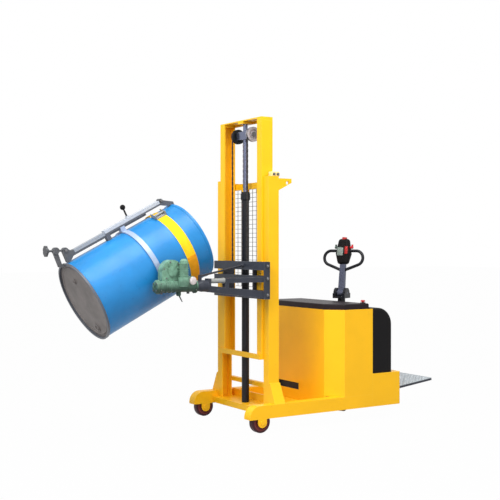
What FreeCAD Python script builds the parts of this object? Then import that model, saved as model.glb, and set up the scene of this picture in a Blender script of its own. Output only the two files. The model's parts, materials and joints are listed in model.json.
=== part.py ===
"""Drum tipper: a walk-behind lift truck whose side arm holds a drum and tips it.

Lengths are millimetres. X points forward to the drum, Y to the left, Z up.
The origin lies on the floor, midway between the two load wheels.
"""
import FreeCAD
import Part
import math
import os
from FreeCAD import Vector

# Fits shared by all pieces
CUT_OVERRUN = 5.0
RUN_GAP = 0.3
SHAFT_GAP = 0.05
FULL_TURN = 360.0
RIGHT_ANGLE = 90.0
LEFT = 1
RIGHT = -1

# Load wheels at the front of the legs
LOAD_TRACK_HALF = 403.0
LOAD_WHEEL_RADIUS = 75.0
LOAD_WHEEL_WIDTH = 48.0
LOAD_TYRE_THICKNESS = 15.0
LOAD_TYRE_CHAMFER = 5.0
LOAD_HUB_DISH = 9.0
LOAD_HUB_RIM = 10.0
LOAD_SLEEVE_RADIUS = 20.0
LOAD_AXLE_RADIUS = 10.0
LOAD_AXLE_HEAD_RADIUS = 17.0
LOAD_AXLE_HEAD = 5.0

# Legs and the ears that carry the load axles
LEG_WIDTH = 80.0
LEG_PLATE = 8.0
LEG_BOTTOM = 100.0
LEG_HEIGHT = 94.0
LEG_FRONT = 104.0
LEG_NOSE_RADIUS = 82.0
EAR_RADIUS = 36.0

# Cross beam under the mast and the deck behind it
CROSS_FRONT = -58.0
CROSS_REAR = -240.0
CROSS_BOTTOM = 108.0
CROSS_HEIGHT = 42.0
CROSS_PLATE = 8.0
DECK_REAR_INSET = 169.0
DECK_PLATE = 12.0
DECK_RISER_HEIGHT = 97.0

# Fixed outer mast of two channels
OUTER_HALF_WIDTH = 360.0
OUTER_CHANNEL_WIDTH = 66.0
OUTER_WALL = 9.0
OUTER_FRONT = -105.0
OUTER_DEPTH = 88.0
OUTER_TOP = 1825.0
OUTER_BAR_DEPTH = 34.0
OUTER_TOP_BAR_LOW = 1752.0
OUTER_TOP_BAR_HEIGHT = 46.0
OUTER_LOW_BAR_LOW = 274.0
OUTER_LOW_BAR_HEIGHT = 32.0
GUSSET_PLATE = 12.0
GUSSET_HEIGHT = 142.0
GUSSET_TOP_WIDTH = 16.0

# Lifting brackets behind the mast top
BRACKET_REACH = 112.0
BRACKET_LOW = 1725.0
BRACKET_HEIGHT = 87.0
BRACKET_PLATE = 12.0
BRACKET_TIP_HEIGHT = 30.0
SLING_EYE_RADIUS = 13.0
SLING_EYE_BACK = 76.0
SLING_EYE_DROP = 32.0

# Wire guard behind the mast
GUARD_WIRE = 3.0
GUARD_LOW = 1010.0
GUARD_ROW_PITCH = 34.0
GUARD_COLUMN_PITCH = 53.0

# Moving inner mast
MAST_SIDE_GAP = 3.0
INNER_CHANNEL_WIDTH = 60.0
INNER_WALL = 9.0
INNER_FRONT = -88.0
INNER_DEPTH = 97.0
INNER_TOP = 2260.0
INNER_BOTTOM = 500.0
INNER_TOP_PLATE = 25.0
INNER_TOP_WEB = 8.0
INNER_TOP_BOSS = 34.0
INNER_BAR_HEIGHT = 37.0
INNER_BAR_DEPTH = 16.0
MAST_ROLLER_RISE = 64.0
MAST_ROLLER_WIDTH = 40.0
ROLLER_STUB_RADIUS = 14.0
ROLLER_STUB_LENGTH = 8.0
ROLLER_CHAMFER = 3.0

# Lift cylinder, its rod and the chain head
CYLINDER_X = -134.0
CYLINDER_RADIUS = 28.0
CYLINDER_WALL = 5.0
CYLINDER_FLOOR = 20.0
GLAND_LOW = 1660.0
GLAND_HEIGHT = 67.0
GLAND_RADIUS = 36.0
GLAND_STEP = 12.0
ROD_RADIUS = 17.5
ROD_BOTTOM = 1000.0
PISTON_HEIGHT = 40.0
SHEAVE_DROP = 110.0
SHEAVE_Y = 105.0
SHEAVE_RADIUS = 55.0
SHEAVE_GROOVE_RADIUS = 45.0
SHEAVE_GROOVE_WIDTH = 16.0
SHEAVE_WIDTH = 24.0
SHEAVE_WEB = 8.0
SHEAVE_HUB_RADIUS = 22.0
SHEAVE_RIM_THICKNESS = 8.0
SHEAVE_AXLE_RADIUS = 12.0
SHEAVE_COLLAR_RADIUS = 18.0
SHEAVE_COLLAR = 7.0
CROSSHEAD_LENGTH = 48.0
CROSSHEAD_HALF_WIDTH = 88.0
CROSSHEAD_HEIGHT = 60.0
CHAIN_WIDTH = 14.0
CHAIN_THICKNESS = 8.0
CHAIN_ANCHOR_WIDTH = 28.0
CHAIN_ANCHOR_HEIGHT = 36.0
CHAIN_ANCHOR_DEPTH = 17.0

# Carriage
CARRIAGE_REAR = -66.0
CARRIAGE_BAR_DEPTH = 46.0
CARRIAGE_LEFT = 425.0
CARRIAGE_RIGHT = -270.0
CARRIAGE_BAR_WALL = 6.0
UPPER_BAR_RISE = 205.0
UPPER_BAR_HEIGHT = 60.0
MIDDLE_BAR_RISE = 125.0
MIDDLE_BAR_HEIGHT = 40.0
LOWER_BAR_LOW = 945.0
LOWER_BAR_HEIGHT = 60.0
CARRIAGE_PLATE = 12.0
CARRIAGE_SIDE_GAP = 14.0
CARRIAGE_PLATE_RISE = 25.0
CARRIAGE_ROLLER_BASE = 70.0
CARRIAGE_ROLLER_RISE = 145.0
CARRIAGE_ROLLER_WIDTH = 36.0
CARRIAGE_ROLLER_INSET = 22.0
CARRIAGE_ANCHOR_HEIGHT = 40.0
CARRIAGE_ANCHOR_DEPTH = 32.0

# Side arm from the carriage to the tipping gearbox
ARM_Y = 402.0
ARM_WIDTH = 46.0
ARM_WALL = 6.0
ARM_FRONT = 432.0
ARM_ROOT_RISE = 7.0
ARM_ROOT_HEIGHT = 50.0
ARM_TIP_RISE = 63.0
ARM_TIP_HEIGHT = 44.0
ARM_RAIL_RISE = 121.0
ARM_RAIL_HEIGHT = 34.0
ARM_RAIL_FRONT = 293.0
ARM_BLOCK = 25.0
SLEEVE_COLLAR = 12.0
SLEEVE_COLLAR_RADIUS = 20.0
ARM_NOSE_LENGTH = 88.0
ARM_NOSE_RADIUS = 40.0
ARM_NOSE_TIP_RADIUS = 30.0
ARM_NOSE_RISE = 105.0

# Worm gearbox and tipping motor
TILT_X = 692.0
TILT_RISE = 102.0
CASE_INNER_Y = 338.0
CASE_WIDTH = 62.0
CASE_RADIUS = 78.0
CASE_RIB = 8.0
CASE_RIB_COUNT = 6
CASE_CAP_RADIUS = 34.0
CASE_CAP = 8.0
BARREL_RADIUS = 38.0
BARREL_FRONT_REACH = 120.0
BARREL_FLANGE_RADIUS = 47.0
BARREL_FLANGE = 12.0
END_COVER_RADIUS = 44.0
END_COVER = 12.0
END_COVER_HOLE = 14.0
END_COVER_HOLE_DEPTH = 7.0
MOTOR_SETBACK = 62.0
MOTOR_Y = 444.0
MOTOR_RADIUS = 28.0
MOTOR_RISE = 172.0
MOTOR_CAP_HEIGHT = 14.0
MOTOR_FIN_REACH = 6.0
MOTOR_FIN = 4.0
MOTOR_FIN_COUNT = 6
MOTOR_FLANGE_RADIUS = 38.0
MOTOR_FLANGE = 12.0
RELEASE_X = 648.0
RELEASE_TIP_X = 620.0
RELEASE_TIP_DROP = 104.0
RELEASE_ROOT_RADIUS = 6.0
RELEASE_TIP_RADIUS = 3.0
RELEASE_HUB_RADIUS = 10.0
RELEASE_HUB_WIDTH = 12.0
RELEASE_PIN_RADIUS = 4.0
RELEASE_CHEEK = 6.0
RELEASE_CHEEK_RADIUS = 12.0
RELEASE_DROP = 15.0
STAY_RADIUS = 7.0
STAY_LUG = 22.0
STAY_LUG_WIDTH = 12.0
STAY_LUG_HEIGHT = 40.0
STAY_SEAT_RADIUS = 13.0
STAY_SEAT = 14.0
STAY_BAR_Y = 150.0
STAY_ARM_X = 484.0

# Drum and its tilt at rest
TIP_ANGLE = 117.5
DRUM_SETBACK = 32.6
DRUM_RAISE = 62.0
DRUM_RADIUS = 286.0
DRUM_CHIME_RADIUS = 292.0
DRUM_LENGTH = 911.0
DRUM_WALL = 2.5
DRUM_CHIME_HEIGHT = 14.0
DRUM_CHIME_WIDTH = 12.0
DRUM_SHOULDER = 8.0
HEAD_RECESS = 14.0
HEAD_PLATE = 3.0
HEAD_SEAT = 6.0
HEAD_BEAD_RADIUS = 262.0
HEAD_BEAD_WIDTH = 14.0
HEAD_BEAD_HEIGHT = 4.0
BUNG_OFFSET = 205.0
BUNG_RADIUS = 34.0
VENT_OFFSET = 150.0
VENT_RADIUS = 19.0
BUNG_FLANGE = 4.0
BUNG_HEIGHT = 9.0
BUNG_RIM_SHARE = 0.7

# Drum holder: hoop, trunnion and clamp bar
HOOP_THICKNESS = 9.0
HOOP_WIDTH = 36.0
HOOP_END_REACH = 34.0
HOOP_RAISE = 32.0
TRUNNION_RADIUS = 30.0
TRUNNION_FLANGE_RADIUS = 52.0
TRUNNION_FLANGE_Y = 330.0
BAR_GAP = 28.0
BAR_WIDTH = 46.0
BAR_HEIGHT = 34.0
BAR_BACK = 9.7
BAR_FLANGE = 4.5
BAR_BOTTOM_SHORT = 88.0
BAR_TUBE_TOP = 105.0
BAR_FOOT_LENGTH = 30.0
SLIDER_HEIGHT = 38.0
SLIDER_OVERLAP = 340.0
SLIDER_TOP_SHORT = 62.0
SLIDER_WALL = 5.0
HOOK_PLATE = 14.0
HOOK_WIDTH = 32.0
HOOK_BITE = 24.0
HOOK_BOSS_RADIUS = 15.0

# Lid clamp at the end of the sliding bar
BRACKET_BOSS_OUT = 79.0
BRACKET_BOSS_DOWN = 46.0
BRACKET_BOSS_RADIUS = 20.0
BRACKET_LEG_WIDTH = 26.0
BRACKET_LEG_DOWN = 18.0
SCREW_LEAN = 25.0
SCREW_RADIUS = 7.0
SCREW_TAIL = 10.0
JAW_ALONG = 65.0
JAW_PLATE = 16.0
JAW_HEAD_RADIUS = 23.0
JAW_LEG_LOW = 16.0
JAW_LEG_WIDTH = 30.0
JAW_TOE_OUT = 6.0
JAW_TOE_IN = 16.0
KNOB_ALONG = 126.0
KNOB_RADIUS = 37.0
KNOB_THICKNESS = 14.0
KNOB_HUB = 14.0
KNOB_LOBE_COUNT = 8
KNOB_LOBE_RADIUS = 5.0

# Lock plunger with a ball on the clamp bar
PLUNGER_DOWN = 104.0
PLUNGER_RADIUS = 6.0
PLUNGER_COLLAR_RADIUS = 13.0
PLUNGER_COLLAR = 14.0
PLUNGER_STEM = 46.0
PLUNGER_BALL_RADIUS = 19.0
BALL_STEPS = 9

# Webbing strap round the drum and its ratchet
STRAP_WIDTH = 76.0
STRAP_THICKNESS = 3.0
STRAP_DOWN = 292.0
RATCHET_LENGTH = 74.0
RATCHET_WIDTH = 86.0
RATCHET_CHEEK = 4.0
RATCHET_HEIGHT = 26.0
RATCHET_SPOOL_RADIUS = 8.0
RATCHET_ANGLE = 74.0

# Body of the truck
BODY_FRONT = -621.0
BODY_LENGTH = 378.0
BODY_CHAMFER = 110.0
BODY_WALL = 4.0
BODY_TOP = 845.0
BODY_SLOT_LEFT = 3.0
BODY_SLOT_RIGHT = -281.0
BODY_SLOT_LOW = 204.0
BODY_SLOT_HEIGHT = 52.0
LID_REAR_INSET = 37.0
LID_HEIGHT = 42.0
LID_WALL = 4.0
LID_MARGIN = 2.0
LID_ROUND = 10.0
LID_HINGE_BACK = 9.0
LID_HINGE_RISE = 8.0
LID_KNUCKLE_RADIUS = 7.0
LID_KNUCKLE_LENGTH = 40.0
LID_KNUCKLE_Y = 250.0
LID_PIN_RADIUS = 4.0
LID_LUG = 10.0
LID_RAIL_LENGTH = 26.0
LID_RAIL_DROP = 12.0
LID_RAIL_HEIGHT = 20.0
STOP_INSET = 24.0
STOP_Y = 400.0
STOP_STEM_RADIUS = 9.0
STOP_STEM = 6.0
STOP_RADIUS = 18.0
STOP_HEIGHT = 12.0
STOP_COLLAR_RADIUS = 20.0
STOP_COLLAR = 6.0
BATTERY_GAP = 24.0
BATTERY_LENGTH = 230.0
BATTERY_HALF_WIDTH = 300.0
BATTERY_TOP = 640.0
BATTERY_CELLS = 6
BATTERY_CELL_GROOVE = 6.0
POWER_INSET = 67.0
POWER_Y = -250.0
POWER_MOTOR_RADIUS = 55.0
POWER_MOTOR_TOP = 560.0
TANK_LENGTH = 110.0
TANK_WIDTH = 220.0
TANK_TOP = 390.0
WEIGHT_HEIGHT = 70.0

# Rear base and moulded rear cover
BASE_LENGTH = 278.0
BASE_TOP = 350.0
BASE_WALL = 6.0
BASE_ROUND = 16.0
COVER_LENGTH = 203.0
COVER_TOP = 848.0
COVER_WALL = 5.0
COVER_CROWN_RADIUS = 130.0
COVER_SIDE_INSET = 10.0
COVER_EDGE_ROUND = 22.0
COLUMN_HOLE_RADIUS = 46.0

# Drive unit under the steering column
DRIVE_SETBACK = 44.0
DRIVE_WHEEL_RADIUS = 115.0
DRIVE_WHEEL_WIDTH = 70.0
DRIVE_TYRE_THICKNESS = 20.0
DRIVE_TYRE_CHAMFER = 8.0
DRIVE_AXLE_RADIUS = 16.0
DRIVE_CASE_THICKNESS = 36.0
DRIVE_CASE_RADIUS = 62.0
TURNTABLE_RADIUS = 118.0
TURNTABLE_LOW = 336.0
TURNTABLE_HEIGHT = 18.0
DRIVE_MOTOR_RADIUS = 70.0
DRIVE_MOTOR_TOP = 560.0
COLUMN_RADIUS = 30.0

# Tiller, turned and leaning as in use
STEER_REST = 28.0
TILLER_LEAN = 8.0
TILLER_PIVOT_Z = 945.0
TILLER_BLOCK_LOW = 905.0
TILLER_BLOCK_FLOOR = 14.0
TILLER_CHEEK = 23.0
TILLER_CHEEK_RADIUS = 42.0
TILLER_BLOCK_LENGTH = 112.0
TILLER_HUB_WIDTH = 58.0
TILLER_HUB_RADIUS = 25.0
TILLER_PIN_RADIUS = 9.0
TILLER_ARM_WIDTH = 52.0
TILLER_ARM_DEPTH = 30.0
TILLER_ARM_TIP_WIDTH = 46.0
TILLER_ARM_TIP_DEPTH = 26.0
HEAD_LOW = 232.0
HEAD_HEIGHT = 206.0
HEAD_FOOT_WIDTH = 88.0
HEAD_FOOT_DEPTH = 52.0
HEAD_MIDDLE_RISE = 84.0
HEAD_WIDTH = 128.0
HEAD_DEPTH = 68.0
HEAD_TOP_WIDTH = 88.0
HEAD_TOP_DEPTH = 52.0
HEAD_ROUND = 24.0
LOOP_RADIUS = 12.0
LOOP_REACH = 168.0
LOOP_HIGH = 341.0
LOOP_BEND = 58.0
LOOP_SLOPE = 21.0
THROTTLE_RISE = 368.0
THROTTLE_RADIUS = 10.0
THROTTLE_REACH = 78.0
PADDLE_LENGTH = 24.0
PADDLE_THICKNESS = 8.0
BUTTON_RADIUS = 20.0
BUTTON_HEIGHT = 12.0
BUTTON_DEPTH = 16.0
BUTTON_FLOOR = 7.0

# Folding step at the rear
STEP_HINGE_GAP = 14.0
STEP_HINGE_Z = 187.0
STEP_LENGTH = 455.0
STEP_HALF_WIDTH = 300.0
STEP_PLATE = 5.0
STEP_EDGE = 18.0
STEP_CORNER = 14.0
STEP_RISE_ANGLE = 6.7
STEP_PIN_RADIUS = 7.0
STEP_LUG_Y = 270.0
STEP_LUG = 12.0
STEP_LUG_RADIUS = 13.5

# Levels and planes that several pieces share
LEG_TOP = LEG_BOTTOM + LEG_HEIGHT
LEG_INNER = LOAD_TRACK_HALF - LEG_WIDTH / 2
LEG_OUTER = LOAD_TRACK_HALF + LEG_WIDTH / 2
CROSS_TOP = CROSS_BOTTOM + CROSS_HEIGHT
BODY_REAR = BODY_FRONT - BODY_LENGTH
LID_REAR = BODY_REAR + LID_REAR_INSET
DECK_REAR = BODY_REAR + DECK_REAR_INSET
POWER_X = BODY_REAR + POWER_INSET
BASE_REAR = BODY_REAR - BASE_LENGTH
COVER_REAR = BODY_REAR - COVER_LENGTH
DRIVE_X = BODY_REAR - DRIVE_SETBACK
DECK_TOP = CROSS_BOTTOM + DECK_PLATE
WEIGHT_TOP = DECK_TOP + WEIGHT_HEIGHT
OUTER_REAR = OUTER_FRONT - OUTER_DEPTH
OUTER_BAR_REAR = OUTER_REAR - OUTER_BAR_DEPTH
INNER_HALF_WIDTH = OUTER_HALF_WIDTH - OUTER_CHANNEL_WIDTH - MAST_SIDE_GAP
GUARD_HALF_WIDTH = OUTER_HALF_WIDTH - OUTER_CHANNEL_WIDTH
INNER_REAR = INNER_FRONT - INNER_DEPTH
INNER_BEAM_LOW = INNER_TOP - INNER_TOP_PLATE
SHEAVE_Z = INNER_TOP - SHEAVE_DROP
MAST_ROLLER_X = (OUTER_FRONT + OUTER_REAR) / 2
MAST_ROLLER_Z = INNER_BOTTOM + MAST_ROLLER_RISE
MIDDLE_BAR_LOW = LOWER_BAR_LOW + MIDDLE_BAR_RISE
UPPER_BAR_LOW = LOWER_BAR_LOW + UPPER_BAR_RISE
CARRIAGE_PLATE_LOW = LOWER_BAR_LOW + CARRIAGE_PLATE_RISE
CARRIAGE_ROLLER_LOW = LOWER_BAR_LOW + CARRIAGE_ROLLER_BASE
ARM_ROOT_LOW = LOWER_BAR_LOW + ARM_ROOT_RISE
ARM_TIP_LOW = LOWER_BAR_LOW + ARM_TIP_RISE
ARM_RAIL_LOW = LOWER_BAR_LOW + ARM_RAIL_RISE
ARM_NOSE_Z = LOWER_BAR_LOW + ARM_NOSE_RISE
TILT_Z = ARM_NOSE_Z + TILT_RISE
MOTOR_TOP = ARM_NOSE_Z + MOTOR_RISE
RELEASE_TIP_Z = ARM_NOSE_Z - RELEASE_TIP_DROP
CARRIAGE_ROLLER_X = (INNER_FRONT + INNER_REAR) / 2
CARRIAGE_ROLLER_HIGH = CARRIAGE_ROLLER_LOW + CARRIAGE_ROLLER_RISE
CHAIN_INNER_RADIUS = SHEAVE_GROOVE_RADIUS + RUN_GAP
CHAIN_FRONT_X = CYLINDER_X + CHAIN_INNER_RADIUS
CHAIN_REAR_X = CYLINDER_X - CHAIN_INNER_RADIUS
CARRIAGE_FRONT = CARRIAGE_REAR + CARRIAGE_BAR_DEPTH
CARRIAGE_PLATE_Y = INNER_HALF_WIDTH - INNER_CHANNEL_WIDTH - CARRIAGE_SIDE_GAP - CARRIAGE_PLATE
CARRIAGE_TOP = UPPER_BAR_LOW + UPPER_BAR_HEIGHT
CARRIAGE_CHAIN_Z = UPPER_BAR_LOW + CARRIAGE_ANCHOR_HEIGHT
CASE_OUTER_Y = CASE_INNER_Y + CASE_WIDTH
BARREL_REAR = ARM_FRONT + ARM_NOSE_LENGTH
BARREL_FRONT = TILT_X + BARREL_FRONT_REACH
MOTOR_X = TILT_X - MOTOR_SETBACK
DRUM_HALF = DRUM_LENGTH / 2
HOOP_INNER = DRUM_RADIUS + RUN_GAP
HOOP_OUTER = HOOP_INNER + HOOP_THICKNESS
CHIME_X = -(DRUM_CHIME_RADIUS + RUN_GAP)
SLIDER_INNER_X = -(DRUM_RADIUS + BAR_GAP)
SLIDER_OUTER_X = SLIDER_INNER_X - SLIDER_HEIGHT
BAR_OUTER_X = SLIDER_OUTER_X - RUN_GAP - BAR_BACK
BAR_INNER_X = BAR_OUTER_X + BAR_HEIGHT
BAR_BOTTOM = -DRUM_HALF + BAR_BOTTOM_SHORT
SLIDER_WIDTH = BAR_WIDTH - BAR_FLANGE - BAR_FLANGE - RUN_GAP - RUN_GAP
SLIDER_TOP = DRUM_HALF - SLIDER_TOP_SHORT
SLIDER_BOTTOM = BAR_TUBE_TOP - SLIDER_OVERLAP
BOSS_X = CHIME_X - BRACKET_BOSS_OUT
BOSS_Z = DRUM_HALF - BRACKET_BOSS_DOWN
RELEASE_Z = ARM_NOSE_Z - BARREL_RADIUS - RELEASE_DROP
STOP_X = LID_REAR + STOP_INSET
LID_HINGE_X = LID_REAR - LID_HINGE_BACK
LID_HINGE_Z = BODY_TOP + LID_HINGE_RISE
LID_TOP = BODY_TOP + LID_HEIGHT
STEP_HINGE_X = BASE_REAR - STEP_HINGE_GAP


def box(x0, x1, y0, y1, z0, z1):
    """Box between two opposite corners."""
    low = Vector(min(x0, x1), min(y0, y1), min(z0, z1))
    return Part.makeBox(abs(x1 - x0), abs(y1 - y0), abs(z1 - z0), low)


def aim(shape, axis):
    """Turns a shape made along Z so that it lies along the named axis."""
    if axis == "x":
        shape.rotate(Vector(0, 0, 0), Vector(0, 1, 0), RIGHT_ANGLE)
    if axis == "y":
        shape.rotate(Vector(0, 0, 0), Vector(1, 0, 0), -RIGHT_ANGLE)
    return shape


def round_bar(axis, start, radius, length):
    """Cylinder from a start point along the named axis."""
    bar = aim(Part.makeCylinder(radius, length), axis)
    bar.translate(start)
    return bar


def lathe(profile, start, axis):
    """Solid of revolution from pairs of radius and distance along the axis."""
    points = [Vector(radius, 0, along) for radius, along in profile]
    outline = Part.makePolygon(points + points[:1])
    solid = Part.Face(outline).revolve(Vector(0, 0, 0), Vector(0, 0, 1), FULL_TURN)
    solid = aim(solid, axis)
    solid.translate(start)
    return solid


def prism(axis, outline, start, end):
    """Straight extrusion of an outline given in the plane square to the axis."""
    place = {
        "x": lambda a, b: Vector(start, a, b),
        "y": lambda a, b: Vector(a, start, b),
        "z": lambda a, b: Vector(a, b, start),
    }[axis]
    travel = {"x": Vector(1, 0, 0), "y": Vector(0, 1, 0), "z": Vector(0, 0, 1)}[axis]
    points = [place(a, b) for a, b in outline]
    face = Part.Face(Part.makePolygon(points + points[:1]))
    return face.extrude(travel * (end - start))


def join(shapes):
    """One solid from shapes that share faces or overlap."""
    whole = shapes[0]
    for shape in shapes[1:]:
        whole = whole.fuse(shape)
    return whole.removeSplitter()


def cut(shape, tools):
    """The shape less every tool."""
    for tool in tools:
        shape = shape.cut(tool)
    return shape


def group(shapes):
    """Separate solids kept in one node."""
    solids = [solid for shape in shapes for solid in shape.Solids]
    return Part.makeCompound(solids)


def mirrored(shape):
    """The same piece on the other side of the centre plane."""
    return shape.mirror(Vector(0, 0, 0), Vector(0, 1, 0))


def straight_edges(shape, axis, test):
    """Straight edges along an axis whose middle passes the test."""
    direction = {"x": Vector(1, 0, 0), "y": Vector(0, 1, 0), "z": Vector(0, 0, 1)}[axis]
    found = []
    for edge in shape.Edges:
        if edge.Curve.TypeId != "Part::GeomLine":
            continue
        span = edge.Vertexes[-1].Point - edge.Vertexes[0].Point
        along = abs(span.dot(direction))
        if along > edge.Length * (1 - Part.Precision.confusion()) and test(edge.CenterOfMass):
            found.append(edge)
    return found


def rounded(shape, radius, axis, test):
    """The shape with chosen straight edges rounded."""
    return shape.makeFillet(radius, straight_edges(shape, axis, test))


def leg_blank(inset, y0, y1, bottom):
    """Solid leg with a round nose, drawn in by an inset for its hollow."""
    rear = BODY_REAR + inset
    front = LEG_FRONT - inset
    top = LEG_TOP - inset
    radius = LEG_NOSE_RADIUS - inset
    sweep = radius * math.sin(math.radians(RIGHT_ANGLE) / 2)
    centre = Vector(front - radius, y0, top - radius)
    corners = [
        Vector(front - radius, y0, top),
        Vector(rear, y0, top),
        Vector(rear, y0, bottom),
        Vector(front, y0, bottom),
        Vector(front, y0, top - radius),
    ]
    edges = [Part.makeLine(a, b) for a, b in zip(corners, corners[1:])]
    middle = centre + Vector(sweep, 0, sweep)
    edges.append(Part.Arc(corners[-1], middle, corners[0]).toShape())
    return Part.Face(Part.Wire(edges)).extrude(Vector(0, y1 - y0, 0))


def left_leg():
    """Inverted channel with a round nose and two ears for the axle."""
    inner = LEG_INNER + LEG_PLATE
    outer = LEG_OUTER - LEG_PLATE
    shell = leg_blank(0, LEG_INNER, LEG_OUTER, LEG_BOTTOM)
    shell = shell.cut(leg_blank(LEG_PLATE, inner, outer, LEG_BOTTOM - CUT_OVERRUN))
    pieces = [shell]
    for y0 in (LEG_INNER, outer):
        y1 = y0 + LEG_PLATE
        pieces.append(round_bar("y", Vector(0, y0, LOAD_WHEEL_RADIUS), EAR_RADIUS, LEG_PLATE))
        pieces.append(box(-EAR_RADIUS, EAR_RADIUS, y0, y1, LOAD_WHEEL_RADIUS, LEG_BOTTOM + LEG_PLATE))
    bore_start = Vector(0, LEG_INNER - CUT_OVERRUN, LOAD_WHEEL_RADIUS)
    bore = round_bar("y", bore_start, LOAD_AXLE_RADIUS, LEG_WIDTH + CUT_OVERRUN + CUT_OVERRUN)
    return join(pieces).cut(bore)


def left_axle():
    """Axle pin with a flat head on each side of the leg."""
    start = Vector(0, LEG_INNER - LOAD_AXLE_HEAD, LOAD_WHEEL_RADIUS)
    length = LEG_WIDTH + LOAD_AXLE_HEAD + LOAD_AXLE_HEAD
    far = length - LOAD_AXLE_HEAD
    profile = [
        (0, 0),
        (LOAD_AXLE_HEAD_RADIUS, 0),
        (LOAD_AXLE_HEAD_RADIUS, LOAD_AXLE_HEAD),
        (LOAD_AXLE_RADIUS, LOAD_AXLE_HEAD),
        (LOAD_AXLE_RADIUS, far),
        (LOAD_AXLE_HEAD_RADIUS, far),
        (LOAD_AXLE_HEAD_RADIUS, length),
        (0, length),
    ]
    return lathe(profile, start, "y")


def tyre(radius, thickness, width, chamfer):
    """Solid tyre round the Z axis, centred on its width."""
    half = width / 2
    profile = [
        (radius - thickness, -half),
        (radius - chamfer, -half),
        (radius, -half + chamfer),
        (radius, half - chamfer),
        (radius - chamfer, half),
        (radius - thickness, half),
    ]
    return lathe(profile, Vector(0, 0, 0), "z")


def left_wheel():
    """Load wheel: dished hub with a long sleeve, and its bonded tyre."""
    half = LOAD_WHEEL_WIDTH / 2
    sleeve = LEG_WIDTH / 2 - LEG_PLATE - RUN_GAP
    rim = LOAD_WHEEL_RADIUS - LOAD_TYRE_THICKNESS
    web = half - LOAD_HUB_DISH
    bore = LOAD_AXLE_RADIUS + SHAFT_GAP
    profile = [
        (bore, -sleeve),
        (LOAD_SLEEVE_RADIUS, -sleeve),
        (LOAD_SLEEVE_RADIUS, -web),
        (rim - LOAD_HUB_RIM, -web),
        (rim - LOAD_HUB_RIM, -half),
        (rim, -half),
        (rim, half),
        (rim - LOAD_HUB_RIM, half),
        (rim - LOAD_HUB_RIM, web),
        (LOAD_SLEEVE_RADIUS, web),
        (LOAD_SLEEVE_RADIUS, sleeve),
        (bore, sleeve),
    ]
    centre = Vector(0, LOAD_TRACK_HALF, LOAD_WHEEL_RADIUS)
    hub = lathe(profile, centre, "y")
    tread = tyre(LOAD_WHEEL_RADIUS, LOAD_TYRE_THICKNESS, LOAD_WHEEL_WIDTH, LOAD_TYRE_CHAMFER)
    tread = aim(tread, "y")
    tread.translate(centre)
    return group([hub, tread])


def chassis_deck():
    """Hollow beam under the mast, the deck plate behind it and a shelf for the power unit."""
    beam = box(CROSS_REAR, CROSS_FRONT, -LEG_INNER, LEG_INNER, CROSS_BOTTOM, CROSS_TOP)
    hollow = box(
        CROSS_REAR + CROSS_PLATE,
        CROSS_FRONT - CROSS_PLATE,
        -LEG_INNER - CUT_OVERRUN,
        LEG_INNER + CUT_OVERRUN,
        CROSS_BOTTOM + CROSS_PLATE,
        CROSS_TOP - CROSS_PLATE,
    )
    deck = box(DECK_REAR, CROSS_REAR, -LEG_INNER, LEG_INNER, CROSS_BOTTOM, DECK_TOP)
    riser_top = CROSS_BOTTOM + DECK_RISER_HEIGHT
    riser = box(CROSS_REAR - DECK_PLATE, CROSS_REAR, -LEG_INNER, LEG_INNER, CROSS_BOTTOM, riser_top)
    shelf_rear = POWER_X - TANK_LENGTH / 2
    shelf = box(shelf_rear, DECK_REAR, -LEG_INNER, POWER_Y + TANK_WIDTH / 2, CROSS_BOTTOM, DECK_TOP)
    return join([beam.cut(hollow), deck, riser, shelf])


def left_gusset():
    """Boxed wedge from the outer mast down to the leg, open below."""
    top = LEG_TOP + GUSSET_HEIGHT
    outline = [
        (OUTER_HALF_WIDTH, LEG_TOP),
        (LEG_OUTER, LEG_TOP),
        (OUTER_HALF_WIDTH + GUSSET_TOP_WIDTH, top),
        (OUTER_HALF_WIDTH, top),
    ]
    hollow = [
        (OUTER_HALF_WIDTH, LEG_TOP - CUT_OVERRUN),
        (LEG_OUTER - GUSSET_PLATE, LEG_TOP - CUT_OVERRUN),
        (OUTER_HALF_WIDTH + GUSSET_TOP_WIDTH - GUSSET_PLATE, top - GUSSET_PLATE),
        (OUTER_HALF_WIDTH, top - GUSSET_PLATE),
    ]
    wedge = prism("x", outline, OUTER_REAR, OUTER_FRONT)
    return wedge.cut(prism("x", hollow, OUTER_REAR + GUSSET_PLATE, OUTER_FRONT - GUSSET_PLATE))


def channel(half_width, width, wall, front, depth, bottom, top):
    """Mast channel on the left side, open towards the centre plane."""
    rear = front - depth
    blank = box(rear, front, half_width - width, half_width, bottom, top)
    inside = half_width - width - CUT_OVERRUN
    pocket = box(rear + wall, front - wall, inside, half_width - wall, bottom, top)
    return blank.cut(pocket)


def outer_upright():
    """Fixed mast channel with its stay and lifting bracket welded on."""
    post = channel(
        OUTER_HALF_WIDTH, OUTER_CHANNEL_WIDTH, OUTER_WALL, OUTER_FRONT, OUTER_DEPTH, CROSS_TOP, OUTER_TOP
    )
    return join([post, left_gusset(), left_bracket()])


def inner_upright():
    """Moving mast channel with the stub of its foot roller."""
    post = channel(
        INNER_HALF_WIDTH,
        INNER_CHANNEL_WIDTH,
        INNER_WALL,
        INNER_FRONT,
        INNER_DEPTH,
        INNER_BOTTOM,
        INNER_BEAM_LOW,
    )
    start = Vector(MAST_ROLLER_X, INNER_HALF_WIDTH, MAST_ROLLER_Z)
    stub = round_bar("y", start, ROLLER_STUB_RADIUS, ROLLER_STUB_LENGTH + MAST_ROLLER_WIDTH)
    return join([post, stub])


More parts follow.
